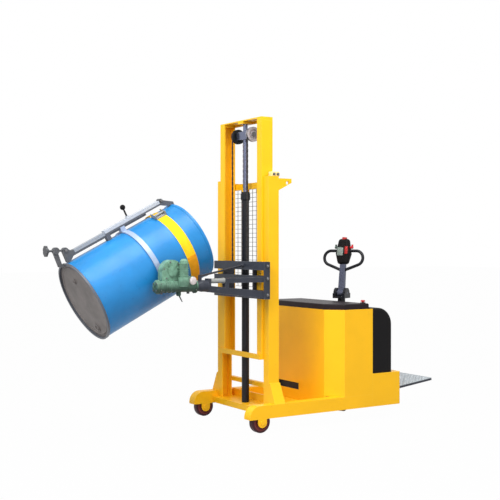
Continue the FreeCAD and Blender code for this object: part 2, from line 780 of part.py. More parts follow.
def outer_cross_bars():
    """Rear bars of the fixed mast and the two chain anchors under the top one."""
    half = OUTER_HALF_WIDTH - BRACKET_PLATE
    top_low = OUTER_TOP_BAR_LOW
    top = box(OUTER_BAR_REAR, OUTER_REAR, -half, half, top_low, top_low + OUTER_TOP_BAR_HEIGHT)
    low = OUTER_LOW_BAR_LOW
    reach = OUTER_HALF_WIDTH - OUTER_CHANNEL_WIDTH / 2
    bottom = box(OUTER_BAR_REAR, OUTER_REAR, -reach, reach, low, low + OUTER_LOW_BAR_HEIGHT)
    anchors = []
    for side in (LEFT, RIGHT):
        y0 = side * SHEAVE_Y - CHAIN_ANCHOR_WIDTH / 2
        y1 = y0 + CHAIN_ANCHOR_WIDTH
        front = OUTER_REAR + CHAIN_ANCHOR_DEPTH
        anchors.append(box(OUTER_BAR_REAR, front, y0, y1, top_low - CHAIN_ANCHOR_HEIGHT, top_low))
    return group([top, bottom] + anchors)


def left_bracket():
    """Lifting bracket behind the mast top with a sling eye."""
    top = BRACKET_LOW + BRACKET_HEIGHT
    tip = OUTER_REAR - BRACKET_REACH
    outline = [
        (OUTER_REAR, BRACKET_LOW),
        (OUTER_REAR, top),
        (tip, top),
        (tip, top - BRACKET_TIP_HEIGHT),
    ]
    y0 = OUTER_HALF_WIDTH - BRACKET_PLATE
    plate = prism("y", outline, y0, OUTER_HALF_WIDTH)
    eye_start = Vector(OUTER_REAR - SLING_EYE_BACK, y0 - CUT_OVERRUN, top - SLING_EYE_DROP)
    eye = round_bar("y", eye_start, SLING_EYE_RADIUS, BRACKET_PLATE + CUT_OVERRUN + CUT_OVERRUN)
    return plate.cut(eye)


def mast_guard():
    """Welded wire guard: level wires with upright wires behind them."""
    top = OUTER_TOP_BAR_LOW + OUTER_TOP_BAR_HEIGHT
    front = OUTER_BAR_REAR
    middle = front - GUARD_WIRE
    rear = middle - GUARD_WIRE
    rows = int((top - GUARD_LOW) / GUARD_ROW_PITCH)
    columns = int(GUARD_HALF_WIDTH / GUARD_COLUMN_PITCH)
    wires = []
    for row in range(rows + 1):
        z0 = GUARD_LOW + row * GUARD_ROW_PITCH
        wires.append(box(middle, front, -GUARD_HALF_WIDTH, GUARD_HALF_WIDTH, z0, z0 + GUARD_WIRE))
    high = GUARD_LOW + rows * GUARD_ROW_PITCH + GUARD_WIRE
    for column in range(-columns, columns + 1):
        y0 = column * GUARD_COLUMN_PITCH - GUARD_WIRE / 2
        wires.append(box(rear, middle, y0, y0 + GUARD_WIRE, GUARD_LOW, high))
    return group(wires)


def inner_cross_bars():
    """Top angle with a seat for the rod, and low front bar of the moving mast."""
    half = INNER_HALF_WIDTH
    top = box(INNER_REAR, INNER_FRONT, -half, half, INNER_BEAM_LOW, INNER_TOP)
    pocket_rear = INNER_REAR + INNER_TOP_WEB
    pocket_low = INNER_BEAM_LOW - CUT_OVERRUN
    pocket_high = INNER_TOP - INNER_TOP_WEB
    for side in (LEFT, RIGHT):
        y0 = side * INNER_TOP_BOSS
        y1 = side * (half - INNER_CHANNEL_WIDTH)
        top = top.cut(box(pocket_rear, INNER_FRONT + CUT_OVERRUN, y0, y1, pocket_low, pocket_high))
    front = INNER_FRONT + INNER_BAR_DEPTH
    low = box(INNER_FRONT, front, -half, half, INNER_BOTTOM, INNER_BOTTOM + INNER_BAR_HEIGHT)
    return group([top, low])


def roller_pair(radius, width, inner_y, x, z):
    """Two guide rollers on one line, each bored for its stub."""
    bore = ROLLER_STUB_RADIUS + SHAFT_GAP
    profile = [
        (bore, 0),
        (radius - ROLLER_CHAMFER, 0),
        (radius, ROLLER_CHAMFER),
        (radius, width - ROLLER_CHAMFER),
        (radius - ROLLER_CHAMFER, width),
        (bore, width),
    ]
    wheel = lathe(profile, Vector(x, inner_y, z), "y")
    return group([wheel, mirrored(wheel)])


def mast_rollers():
    """Rollers at the foot of the moving mast, running in the fixed channels."""
    radius = OUTER_DEPTH / 2 - OUTER_WALL - RUN_GAP
    inner_y = INNER_HALF_WIDTH + ROLLER_STUB_LENGTH
    return roller_pair(radius, MAST_ROLLER_WIDTH, inner_y, MAST_ROLLER_X, MAST_ROLLER_Z)


def carriage_rollers(z):
    """One pair of carriage rollers, running in the moving channels."""
    radius = INNER_DEPTH / 2 - INNER_WALL - RUN_GAP
    inner_y = CARRIAGE_PLATE_Y + CARRIAGE_PLATE + CARRIAGE_ROLLER_INSET
    return roller_pair(radius, CARRIAGE_ROLLER_WIDTH, inner_y, CARRIAGE_ROLLER_X, z)


def lift_cylinder():
    """Cylinder tube with a closed foot, standing on the cross beam."""
    inner = CYLINDER_RADIUS - CYLINDER_WALL
    floor = CROSS_TOP + CYLINDER_FLOOR
    profile = [
        (0, CROSS_TOP),
        (CYLINDER_RADIUS, CROSS_TOP),
        (CYLINDER_RADIUS, GLAND_LOW),
        (inner, GLAND_LOW),
        (inner, floor),
        (0, floor),
    ]
    return lathe(profile, Vector(CYLINDER_X, 0, 0), "z")


def cylinder_gland():
    """Screwed gland on the cylinder top, stepped in at its upper edge."""
    top = GLAND_LOW + GLAND_HEIGHT
    bore = ROD_RADIUS + SHAFT_GAP
    neck = (GLAND_RADIUS + CYLINDER_RADIUS) / 2
    profile = [
        (bore, GLAND_LOW),
        (CYLINDER_RADIUS, GLAND_LOW),
        (GLAND_RADIUS, GLAND_LOW + GLAND_STEP),
        (GLAND_RADIUS, top - GLAND_STEP),
        (neck, top - GLAND_STEP),
        (neck, top),
        (bore, top),
    ]
    return lathe(profile, Vector(CYLINDER_X, 0, 0), "z")


def lift_rod():
    """Rod from the piston to the mast top, with the crosshead for the chain sheaves."""
    piston = CYLINDER_RADIUS - CYLINDER_WALL - RUN_GAP
    profile = [
        (0, ROD_BOTTOM),
        (piston, ROD_BOTTOM),
        (piston, ROD_BOTTOM + PISTON_HEIGHT),
        (ROD_RADIUS, ROD_BOTTOM + PISTON_HEIGHT),
        (ROD_RADIUS, INNER_BEAM_LOW),
        (0, INNER_BEAM_LOW),
    ]
    rod = lathe(profile, Vector(CYLINDER_X, 0, 0), "z")
    half = CROSSHEAD_LENGTH / 2
    low = SHEAVE_Z - CROSSHEAD_HEIGHT / 2
    head = box(
        CYLINDER_X - half,
        CYLINDER_X + half,
        -CROSSHEAD_HALF_WIDTH,
        CROSSHEAD_HALF_WIDTH,
        low,
        low + CROSSHEAD_HEIGHT,
    )
    start = Vector(CYLINDER_X, -CROSSHEAD_HALF_WIDTH - CUT_OVERRUN, SHEAVE_Z)
    length = CROSSHEAD_HALF_WIDTH + CUT_OVERRUN
    bore = round_bar("y", start, SHEAVE_AXLE_RADIUS, length + length)
    return join([rod, head]).cut(bore)


def sheave_axle():
    """Through axle of both sheaves with a collar outside each."""
    collar = SHEAVE_Y + SHEAVE_WIDTH / 2 + RUN_GAP
    end = collar + SHEAVE_COLLAR
    profile = [
        (0, -end),
        (SHEAVE_COLLAR_RADIUS, -end),
        (SHEAVE_COLLAR_RADIUS, -collar),
        (SHEAVE_AXLE_RADIUS, -collar),
        (SHEAVE_AXLE_RADIUS, collar),
        (SHEAVE_COLLAR_RADIUS, collar),
        (SHEAVE_COLLAR_RADIUS, end),
        (0, end),
    ]
    return lathe(profile, Vector(CYLINDER_X, 0, SHEAVE_Z), "y")


def left_sheave():
    """Grooved chain sheave with a thin web."""
    half = SHEAVE_WIDTH / 2
    groove = SHEAVE_GROOVE_WIDTH / 2
    web = SHEAVE_WEB / 2
    bore = SHEAVE_AXLE_RADIUS + SHAFT_GAP
    rim = SHEAVE_GROOVE_RADIUS - SHEAVE_RIM_THICKNESS
    profile = [
        (bore, -half),
        (SHEAVE_HUB_RADIUS, -half),
        (SHEAVE_HUB_RADIUS, -web),
        (rim, -web),
        (rim, -half),
        (SHEAVE_RADIUS, -half),
        (SHEAVE_RADIUS, -groove),
        (SHEAVE_GROOVE_RADIUS, -groove),
        (SHEAVE_GROOVE_RADIUS, groove),
        (SHEAVE_RADIUS, groove),
        (SHEAVE_RADIUS, half),
        (rim, half),
        (rim, web),
        (SHEAVE_HUB_RADIUS, web),
        (SHEAVE_HUB_RADIUS, half),
        (bore, half),
    ]
    return lathe(profile, Vector(CYLINDER_X, SHEAVE_Y, SHEAVE_Z), "y")


def left_chain():
    """Lift chain from the carriage over the sheave to the fixed mast."""
    y0 = SHEAVE_Y - CHAIN_WIDTH / 2
    y1 = y0 + CHAIN_WIDTH
    front = box(CHAIN_FRONT_X, CHAIN_FRONT_X + CHAIN_THICKNESS, y0, y1, CARRIAGE_CHAIN_Z, SHEAVE_Z)
    rear = box(CHAIN_REAR_X - CHAIN_THICKNESS, CHAIN_REAR_X, y0, y1, OUTER_TOP_BAR_LOW, SHEAVE_Z)
    outer = CHAIN_INNER_RADIUS + CHAIN_THICKNESS
    start = Vector(CYLINDER_X, y0, SHEAVE_Z)
    ring = round_bar("y", start, outer, CHAIN_WIDTH)
    ring = ring.cut(round_bar("y", start, CHAIN_INNER_RADIUS, CHAIN_WIDTH))
    reach = outer + CUT_OVERRUN
    upper = box(CYLINDER_X - reach, CYLINDER_X + reach, y0, y1, SHEAVE_Z, SHEAVE_Z + reach)
    return join([front, ring.common(upper), rear])


def carriage_bar(low, height):
    """Box-section bar across the front of the carriage."""
    bar = box(CARRIAGE_REAR, CARRIAGE_FRONT, CARRIAGE_RIGHT, CARRIAGE_LEFT, low, low + height)
    wall = CARRIAGE_BAR_WALL
    hollow = box(
        CARRIAGE_REAR + wall,
        CARRIAGE_FRONT - wall,
        CARRIAGE_RIGHT - CUT_OVERRUN,
        CARRIAGE_LEFT + CUT_OVERRUN,
        low + wall,
        low + height - wall,
    )
    return bar.cut(hollow)


def carriage_bars():
    """The three bars of the carriage."""
    return group(
        [
            carriage_bar(UPPER_BAR_LOW, UPPER_BAR_HEIGHT),
            carriage_bar(MIDDLE_BAR_LOW, MIDDLE_BAR_HEIGHT),
            carriage_bar(LOWER_BAR_LOW, LOWER_BAR_HEIGHT),
        ]
    )


def carriage_plates():
    """Roller plates with their stubs, the chain anchors and the left end plate."""
    rear = CARRIAGE_ROLLER_X - ROLLER_STUB_RADIUS - CARRIAGE_PLATE
    outer = CARRIAGE_PLATE_Y + CARRIAGE_PLATE
    plate = box(rear, CARRIAGE_REAR, CARRIAGE_PLATE_Y, outer, CARRIAGE_PLATE_LOW, CARRIAGE_TOP)
    stub_length = CARRIAGE_ROLLER_INSET + CARRIAGE_ROLLER_WIDTH
    stubs = [
        round_bar("y", Vector(CARRIAGE_ROLLER_X, outer, z), ROLLER_STUB_RADIUS, stub_length)
        for z in (CARRIAGE_ROLLER_LOW, CARRIAGE_ROLLER_HIGH)
    ]
    plate = join([plate] + stubs)
    y0 = SHEAVE_Y - CHAIN_ANCHOR_WIDTH / 2
    y1 = y0 + CHAIN_ANCHOR_WIDTH
    lug_rear = CARRIAGE_REAR - CARRIAGE_ANCHOR_DEPTH
    anchor = box(lug_rear, CARRIAGE_REAR, y0, y1, UPPER_BAR_LOW, CARRIAGE_CHAIN_Z)
    end_y = CARRIAGE_LEFT + CARRIAGE_PLATE
    end = box(CARRIAGE_REAR, CARRIAGE_FRONT, CARRIAGE_LEFT, end_y, LOWER_BAR_LOW, CARRIAGE_TOP)
    return group([plate, mirrored(plate), anchor, mirrored(anchor), end])


def arm_beam(outline, inset):
    """Box-section beam of the arm with a slanted outline, closed at its ends."""
    y0 = ARM_Y - ARM_WIDTH / 2
    y1 = ARM_Y + ARM_WIDTH / 2
    wall = ARM_WALL
    return prism("y", outline, y0, y1).cut(prism("y", inset, y0 + wall, y1 - wall))


def tilt_arm():
    """Open arm: level upper rail, rising lower beam, and a block with a round nose at the front."""
    wall = ARM_WALL
    rear = CARRIAGE_FRONT
    rail_top = ARM_RAIL_LOW + ARM_RAIL_HEIGHT
    root_top = ARM_ROOT_LOW + ARM_ROOT_HEIGHT
    tip_top = ARM_TIP_LOW + ARM_TIP_HEIGHT
    rail = arm_beam(
        [
            (rear, ARM_RAIL_LOW),
            (ARM_RAIL_FRONT, ARM_RAIL_LOW),
            (ARM_RAIL_FRONT, rail_top),
            (rear, rail_top),
        ],
        [
            (rear - CUT_OVERRUN, ARM_RAIL_LOW + wall),
            (ARM_RAIL_FRONT - wall, ARM_RAIL_LOW + wall),
            (ARM_RAIL_FRONT - wall, rail_top - wall),
            (rear - CUT_OVERRUN, rail_top - wall),
        ],
    )
    beam = arm_beam(
        [(rear, ARM_ROOT_LOW), (ARM_FRONT, ARM_TIP_LOW), (ARM_FRONT, tip_top), (rear, root_top)],
        [
            (rear - CUT_OVERRUN, ARM_ROOT_LOW + wall),
            (ARM_FRONT - ARM_BLOCK, ARM_TIP_LOW + wall),
            (ARM_FRONT - ARM_BLOCK, tip_top - wall),
            (rear - CUT_OVERRUN, root_top - wall),
        ],
    )
    y0 = ARM_Y - ARM_WIDTH / 2
    y1 = ARM_Y + ARM_WIDTH / 2
    block = box(ARM_FRONT - ARM_BLOCK, ARM_FRONT, y0, y1, ARM_TIP_LOW, rail_top)
    web = box(ARM_RAIL_FRONT - ARM_BLOCK, ARM_RAIL_FRONT, y0, y1, root_top, ARM_RAIL_LOW)
    nose = lathe(
        [
            (0, 0),
            (ARM_NOSE_RADIUS, 0),
            (ARM_NOSE_RADIUS, ARM_NOSE_LENGTH / 2),
            (ARM_NOSE_TIP_RADIUS, ARM_NOSE_LENGTH),
            (0, ARM_NOSE_LENGTH),
        ],
        Vector(ARM_FRONT, ARM_Y, ARM_NOSE_Z),
        "x",
    )
    return join([rail, beam, web, block, nose])


def arm_sleeve():
    """Plain round sleeve that carries the rail's line on to the arm's block."""
    radius = ARM_RAIL_HEIGHT / 2
    length = ARM_FRONT - ARM_BLOCK - ARM_RAIL_FRONT
    profile = [
        (0, 0),
        (SLEEVE_COLLAR_RADIUS, 0),
        (SLEEVE_COLLAR_RADIUS, SLEEVE_COLLAR),
        (radius, SLEEVE_COLLAR),
        (radius, length),
        (0, length),
    ]
    return lathe(profile, Vector(ARM_RAIL_FRONT, ARM_Y, ARM_RAIL_LOW + radius), "x")


def gearbox_housing():
    """Cast housing: round wheel case with ribs, and the worm barrel below it."""
    case = round_bar("y", Vector(TILT_X, CASE_INNER_Y, TILT_Z), CASE_RADIUS, CASE_WIDTH)
    cap = round_bar("y", Vector(TILT_X, CASE_OUTER_Y, TILT_Z), CASE_CAP_RADIUS, CASE_CAP)
    barrel_length = BARREL_FRONT - BARREL_REAR
    barrel = round_bar("x", Vector(BARREL_REAR, ARM_Y, ARM_NOSE_Z), BARREL_RADIUS, barrel_length)
    rear = round_bar("x", Vector(BARREL_REAR, ARM_Y, ARM_NOSE_Z), BARREL_FLANGE_RADIUS, BARREL_FLANGE)
    front_x = BARREL_FRONT - BARREL_FLANGE
    front = round_bar("x", Vector(front_x, ARM_Y, ARM_NOSE_Z), BARREL_FLANGE_RADIUS, BARREL_FLANGE)
    neck = box(
        TILT_X - CASE_RADIUS, TILT_X + CASE_RADIUS, CASE_INNER_Y, CASE_OUTER_Y, ARM_NOSE_Z, TILT_Z
    )
    seat_low = ARM_NOSE_Z
    seat_high = ARM_NOSE_Z + BARREL_RADIUS + MOTOR_FLANGE
    seat = round_bar("z", Vector(MOTOR_X, MOTOR_Y, seat_low), MOTOR_FLANGE_RADIUS, seat_high - seat_low)
    pieces = [case, cap, barrel, rear, front, neck, seat]
    for rib in range(CASE_RIB_COUNT):
        turn = FULL_TURN * rib / (CASE_RIB_COUNT + CASE_RIB_COUNT)
        z0 = TILT_Z + CASE_CAP_RADIUS - CASE_CAP
        bar = box(
            TILT_X - CASE_RIB / 2, TILT_X + CASE_RIB / 2, CASE_OUTER_Y, CASE_OUTER_Y + CASE_CAP / 2,
            z0, TILT_Z + CASE_RADIUS
        )
        bar.rotate(Vector(TILT_X, 0, TILT_Z), Vector(0, 1, 0), turn - RIGHT_ANGLE)
        pieces.append(bar)
    near = RELEASE_HUB_WIDTH / 2 + RUN_GAP
    far = near + RELEASE_CHEEK
    for y0 in (ARM_Y - far, ARM_Y + near):
        y1 = y0 + RELEASE_CHEEK
        radius = RELEASE_CHEEK_RADIUS
        pieces.append(round_bar("y", Vector(RELEASE_X, y0, RELEASE_Z), radius, RELEASE_CHEEK))
        pieces.append(box(RELEASE_X - radius, RELEASE_X + radius, y0, y1, RELEASE_Z, ARM_NOSE_Z))
    pin_start = Vector(RELEASE_X, ARM_Y - far, RELEASE_Z)
    pieces.append(round_bar("y", pin_start, RELEASE_PIN_RADIUS, far + far))
    bore_start = Vector(TILT_X, CASE_INNER_Y - CUT_OVERRUN, TILT_Z)
    bore = round_bar("y", bore_start, TRUNNION_RADIUS + SHAFT_GAP, CASE_WIDTH + CUT_OVERRUN)
    return join(pieces).cut(bore)


def gearbox_cover():
    """Round end cover of the worm barrel with a blind middle hole."""
    profile = [
        (0, 0),
        (END_COVER_RADIUS, 0),
        (END_COVER_RADIUS, END_COVER / 2),
        (END_COVER_RADIUS - END_COVER / 2, END_COVER),
        (END_COVER_HOLE, END_COVER),
        (END_COVER_HOLE, END_COVER - END_COVER_HOLE_DEPTH),
        (0, END_COVER - END_COVER_HOLE_DEPTH),
    ]
    return lathe(profile, Vector(BARREL_FRONT, ARM_Y, ARM_NOSE_Z), "x")


def tilt_motor():
    """Upright finned motor on the gearbox."""
    low = ARM_NOSE_Z + BARREL_RADIUS + MOTOR_FLANGE
    profile = [(0, low), (MOTOR_FLANGE_RADIUS, low), (MOTOR_FLANGE_RADIUS, low + MOTOR_FLANGE)]
    fin_room = MOTOR_TOP - low - MOTOR_FLANGE
    pitch = fin_room / (MOTOR_FIN_COUNT + 1)
    for fin in range(MOTOR_FIN_COUNT):
        z0 = low + MOTOR_FLANGE + pitch * (fin + 1) - MOTOR_FIN
        profile += [
            (MOTOR_RADIUS, z0),
            (MOTOR_RADIUS + MOTOR_FIN_REACH, z0),
            (MOTOR_RADIUS + MOTOR_FIN_REACH, z0 + MOTOR_FIN),
            (MOTOR_RADIUS, z0 + MOTOR_FIN),
        ]
    profile.insert(len(profile) - 4 * MOTOR_FIN_COUNT, (MOTOR_RADIUS, low + MOTOR_FLANGE))
    top = MOTOR_TOP + MOTOR_CAP_HEIGHT
    profile += [(MOTOR_RADIUS, MOTOR_TOP), (MOTOR_RADIUS - MOTOR_CAP_HEIGHT, top), (0, top)]
    return lathe(profile, Vector(MOTOR_X, MOTOR_Y, 0), "z")


def tilt_release():
    """Pointed release lever on a pin under the gearbox."""
    half = RELEASE_HUB_WIDTH / 2
    pivot = Vector(RELEASE_X, ARM_Y, RELEASE_Z)
    run = Vector(RELEASE_TIP_X - RELEASE_X, 0, RELEASE_TIP_Z - RELEASE_Z)
    lever = Part.makeCone(RELEASE_ROOT_RADIUS, RELEASE_TIP_RADIUS, run.Length, pivot, run)
    start = Vector(RELEASE_X, ARM_Y - half, RELEASE_Z)
    hub = round_bar("y", start, RELEASE_HUB_RADIUS, RELEASE_HUB_WIDTH)
    bore = round_bar("y", start, RELEASE_PIN_RADIUS + SHAFT_GAP, RELEASE_HUB_WIDTH)
    return join([hub, lever]).cut(bore)


def arm_stay():
    """Straight stay from a lug on the arm's nose to the carriage's upper bar."""
    bar_z = UPPER_BAR_LOW + UPPER_BAR_HEIGHT / 2
    lug_top = ARM_NOSE_Z + ARM_NOSE_RADIUS + STAY_LUG_HEIGHT
    start = Vector(STAY_ARM_X, ARM_Y, lug_top - STAY_SEAT_RADIUS)
    end = Vector(CARRIAGE_FRONT + STAY_SEAT / 2, STAY_BAR_Y, bar_z)
    run = end - start
    rod = Part.makeCylinder(STAY_RADIUS, run.Length, start, run)
    seat = round_bar("x", Vector(CARRIAGE_FRONT, STAY_BAR_Y, bar_z), STAY_SEAT_RADIUS, STAY_SEAT)
    half = STAY_LUG / 2
    thin = STAY_LUG_WIDTH / 2
    lug = box(STAY_ARM_X - half, STAY_ARM_X + half, ARM_Y - thin, ARM_Y + thin, ARM_NOSE_Z, start.z)
    eye = round_bar("y", Vector(STAY_ARM_X, ARM_Y - thin, start.z), half, STAY_LUG_WIDTH)
    return join([rod, seat, lug, eye]).cut(tilt_arm())


def tipped(shape):
    """Moves a piece from the upright holder to the tilt that it has at rest."""
    shape.rotate(Vector(0, 0, 0), Vector(0, 1, 0), TIP_ANGLE)
    shape.translate(Vector(TILT_X, 0, TILT_Z))
    return shape


def on_drum(shape):
    """Moves a piece made round the drum's centre to the holder's frame."""
    shape.translate(Vector(-DRUM_SETBACK, 0, DRUM_RAISE))
    return shape


def drum_shell():
    """Drum body with a rolled chime at each end, closed below and open above."""
    low = -DRUM_HALF
    high = DRUM_HALF
    chime_inner = DRUM_CHIME_RADIUS - DRUM_CHIME_WIDTH
    wall = DRUM_RADIUS - DRUM_WALL
    floor = low + HEAD_RECESS
    seat = high - HEAD_RECESS - HEAD_PLATE
    profile = [
        (0, floor),
        (chime_inner, floor),
        (chime_inner, low),
        (DRUM_CHIME_RADIUS, low),
        (DRUM_CHIME_RADIUS, low + DRUM_CHIME_HEIGHT),
        (DRUM_RADIUS, low + DRUM_CHIME_HEIGHT + DRUM_SHOULDER),
        (DRUM_RADIUS, high - DRUM_CHIME_HEIGHT - DRUM_SHOULDER),
        (DRUM_CHIME_RADIUS, high - DRUM_CHIME_HEIGHT),
        (DRUM_CHIME_RADIUS, high),
        (chime_inner, high),
        (chime_inner, seat),
        (chime_inner - HEAD_SEAT, seat),
        (chime_inner - HEAD_SEAT, seat - HEAD_PLATE),
        (wall, seat - HEAD_PLATE - DRUM_SHOULDER),
        (wall, floor + HEAD_PLATE + DRUM_SHOULDER),
        (chime_inner, floor + HEAD_PLATE),
        (0, floor + HEAD_PLATE),
    ]
    return tipped(on_drum(lathe(profile, Vector(0, 0, 0), "z")))


def drum_head():
    """Closed top head of the drum with a pressed ring."""
    outer = DRUM_CHIME_RADIUS - DRUM_CHIME_WIDTH
    seat = DRUM_HALF - HEAD_RECESS - HEAD_PLATE
    top = seat + HEAD_PLATE
    bead_in = HEAD_BEAD_RADIUS - HEAD_BEAD_WIDTH
    profile = [
        (0, seat),
        (outer, seat),
        (outer, top),
        (HEAD_BEAD_RADIUS, top),
        (HEAD_BEAD_RADIUS - HEAD_BEAD_HEIGHT, top + HEAD_BEAD_HEIGHT),
        (bead_in + HEAD_BEAD_HEIGHT, top + HEAD_BEAD_HEIGHT),
        (bead_in, top),
        (0, top),
    ]
    return tipped(on_drum(lathe(profile, Vector(0, 0, 0), "z")))


def bung(radius, x):
    """Screwed plug with a flange ring and a sunk middle."""
    top = DRUM_HALF - HEAD_RECESS
    rim = radius * BUNG_RIM_SHARE
    profile = [
        (0, 0),
        (radius, 0),
        (radius, BUNG_FLANGE),
        (rim, BUNG_FLANGE),
        (rim, BUNG_HEIGHT),
        (rim * BUNG_RIM_SHARE, BUNG_HEIGHT),
        (rim * BUNG_RIM_SHARE, BUNG_FLANGE),
        (0, BUNG_FLANGE),
    ]
    return tipped(on_drum(lathe(profile, Vector(x, 0, top), "z")))


def bar_saddle(low, high, clear):
    """Block under the sliding bar whose two cheeks reach up to the bar channel's flanges."""
    half = BAR_WIDTH / 2
    inner = half - BAR_FLANGE
    block = box(BAR_INNER_X, -clear, -half, half, low, high)
    start = low - CUT_OVERRUN
    end = high + CUT_OVERRUN
    room = box(BAR_INNER_X - CUT_OVERRUN, SLIDER_INNER_X + RUN_GAP, -inner, inner, start, end)
    bed = round_bar("z", Vector(0, 0, start), clear, end - start)
    return cut(block, [room, bed])


def holder_hoop():
    """Half hoop behind the drum, with the saddle that carries the clamp bar."""
    half = HOOP_WIDTH / 2
    outer = round_bar("z", Vector(0, 0, -half), HOOP_OUTER, HOOP_WIDTH)
    ring = outer.cut(round_bar("z", Vector(0, 0, -half), HOOP_INNER, HOOP_WIDTH))
    reach = HOOP_OUTER + CUT_OVERRUN
    keep = box(-reach, DRUM_SETBACK + HOOP_END_REACH, -reach, reach, -half, half)
    ring = ring.common(keep)
    hoop = join([ring, bar_saddle(-half, half, HOOP_INNER)])
    hoop.translate(Vector(-DRUM_SETBACK, 0, HOOP_RAISE))
    return tipped(hoop)


def trunnion():
    """Shaft of the holder with a saddle flange welded to the hoop."""
    half = HOOP_WIDTH / 2
    flange = round_bar("y", Vector(0, 0, 0), TRUNNION_FLANGE_RADIUS, TRUNNION_FLANGE_Y)
    clear = round_bar(
        "z", Vector(-DRUM_SETBACK, 0, -TRUNNION_FLANGE_RADIUS), HOOP_OUTER,
        TRUNNION_FLANGE_RADIUS + TRUNNION_FLANGE_RADIUS
    )
    flange = flange.cut(clear)
    shaft_start = Vector(0, TRUNNION_FLANGE_Y - half, 0)
    length = CASE_OUTER_Y - RUN_GAP - TRUNNION_FLANGE_Y + half
    shaft = round_bar("y", shaft_start, TRUNNION_RADIUS, length)
    return tipped(join([flange, shaft]))


def clamp_bar():
    """Channel over the sliding bar with the bottom hook, a saddle on the drum and the plunger hole."""
    half = BAR_WIDTH / 2
    inner = half - BAR_FLANGE
    low = BAR_BOTTOM - HOOK_PLATE
    blank = box(BAR_OUTER_X, BAR_INNER_X, -half, half, low, BAR_TUBE_TOP)
    end = BAR_TUBE_TOP + CUT_OVERRUN
    groove = box(BAR_OUTER_X + BAR_BACK, BAR_INNER_X + CUT_OVERRUN, -inner, inner, BAR_BOTTOM, end)
    hook_half = HOOK_WIDTH / 2
    under = -DRUM_HALF - RUN_GAP
    toe = -DRUM_CHIME_RADIUS + HOOK_BITE
    outline = [
        (BAR_OUTER_X, BAR_BOTTOM),
        (BAR_INNER_X, BAR_BOTTOM),
        (CHIME_X, under + HOOK_PLATE + HOOK_PLATE),
        (CHIME_X, under),
        (toe, under),
        (toe, under - HOOK_PLATE),
        (CHIME_X - HOOK_PLATE, under - HOOK_PLATE),
        (BAR_OUTER_X, low),
    ]
    hook = prism("y", outline, -hook_half, hook_half)
    boss_x = BAR_OUTER_X + HOOK_BOSS_RADIUS / 2
    boss = round_bar("y", Vector(boss_x, -half, low), HOOK_BOSS_RADIUS, BAR_WIDTH)
    saddle = bar_saddle(BAR_TUBE_TOP - BAR_FOOT_LENGTH, BAR_TUBE_TOP, DRUM_RADIUS + RUN_GAP)
    collar_start = Vector(BAR_OUTER_X - PLUNGER_COLLAR, 0, -PLUNGER_DOWN)
    collar = round_bar("x", collar_start, PLUNGER_COLLAR_RADIUS, PLUNGER_COLLAR)
    hole_start = Vector(BAR_OUTER_X - PLUNGER_COLLAR - CUT_OVERRUN, 0, -PLUNGER_DOWN)
    hole_length = CUT_OVERRUN + PLUNGER_COLLAR + BAR_BACK + CUT_OVERRUN
    hole = round_bar("x", hole_start, PLUNGER_RADIUS + SHAFT_GAP, hole_length)
    return tipped(on_drum(join([blank.cut(groove), hook, boss, saddle, collar]).cut(hole)))


def lock_plunger():
    """Spring plunger of the bar lock with a ball to pull."""
    start = BAR_OUTER_X + BAR_BACK
    stem = BAR_BACK + PLUNGER_COLLAR + PLUNGER_STEM
    radius = PLUNGER_BALL_RADIUS
    profile = [(0, 0), (PLUNGER_RADIUS, 0), (PLUNGER_RADIUS, stem)]
    foot = math.asin(PLUNGER_RADIUS / radius)
    for step in range(1, BALL_STEPS):
        turn = foot + (math.pi - foot) * step / BALL_STEPS
        profile.append((radius * math.sin(turn), stem + radius * math.cos(foot) - radius * math.cos(turn)))
    profile.append((0, stem + radius * math.cos(foot) + radius))
    plunger = lathe(profile, Vector(0, 0, 0), "x")
    plunger.rotate(Vector(0, 0, 0), Vector(0, 0, 1), RIGHT_ANGLE + RIGHT_ANGLE)
    plunger.translate(Vector(start, 0, -PLUNGER_DOWN))
    return tipped(on_drum(plunger))


def clamp_slider():
    """Sliding bar whose end bracket has a leg behind the top chime and a boss for the screw."""
    half = SLIDER_WIDTH / 2
    inner = half - SLIDER_WALL
    wall = SLIDER_WALL
    blank = box(SLIDER_OUTER_X, SLIDER_INNER_X, -half, half, SLIDER_BOTTOM, SLIDER_TOP)
    start = SLIDER_BOTTOM - CUT_OVERRUN
    end = SLIDER_TOP - wall
    hollow = box(SLIDER_OUTER_X + wall, SLIDER_INNER_X - wall, -inner, inner, start, end)
    leg_top = DRUM_HALF - DRUM_CHIME_HEIGHT - DRUM_SHOULDER - RUN_GAP
    leg_low = leg_top - BRACKET_LEG_WIDTH
    outline = [
        (BOSS_X - BRACKET_BOSS_RADIUS, BOSS_Z),
        (BOSS_X, BOSS_Z - BRACKET_BOSS_RADIUS),
        (SLIDER_OUTER_X, SLIDER_TOP - BRACKET_LEG_DOWN),
        (SLIDER_INNER_X, SLIDER_TOP - BRACKET_LEG_DOWN),
        (CHIME_X, leg_low),
        (CHIME_X, leg_top),
        (BOSS_X, BOSS_Z + BRACKET_BOSS_RADIUS),
    ]
    bracket = prism("y", outline, -half, half)
    boss = round_bar("y", Vector(BOSS_X, -half, BOSS_Z), BRACKET_BOSS_RADIUS, SLIDER_WIDTH)
    well = on_screw(Part.makeCylinder(SCREW_RADIUS + SHAFT_GAP, KNOB_ALONG, Vector(0, 0, -SCREW_TAIL)))
    body = join([blank.cut(hollow), bracket, boss])
    return tipped(on_drum(body.cut(well)))


def on_screw(shape):
    """Lays a piece made along Z on the clamp screw's line, starting at the bracket's boss."""
    shape.rotate(Vector(0, 0, 0), Vector(0, 1, 0), -SCREW_LEAN)
    shape.translate(Vector(BOSS_X, 0, BOSS_Z))
    return shape


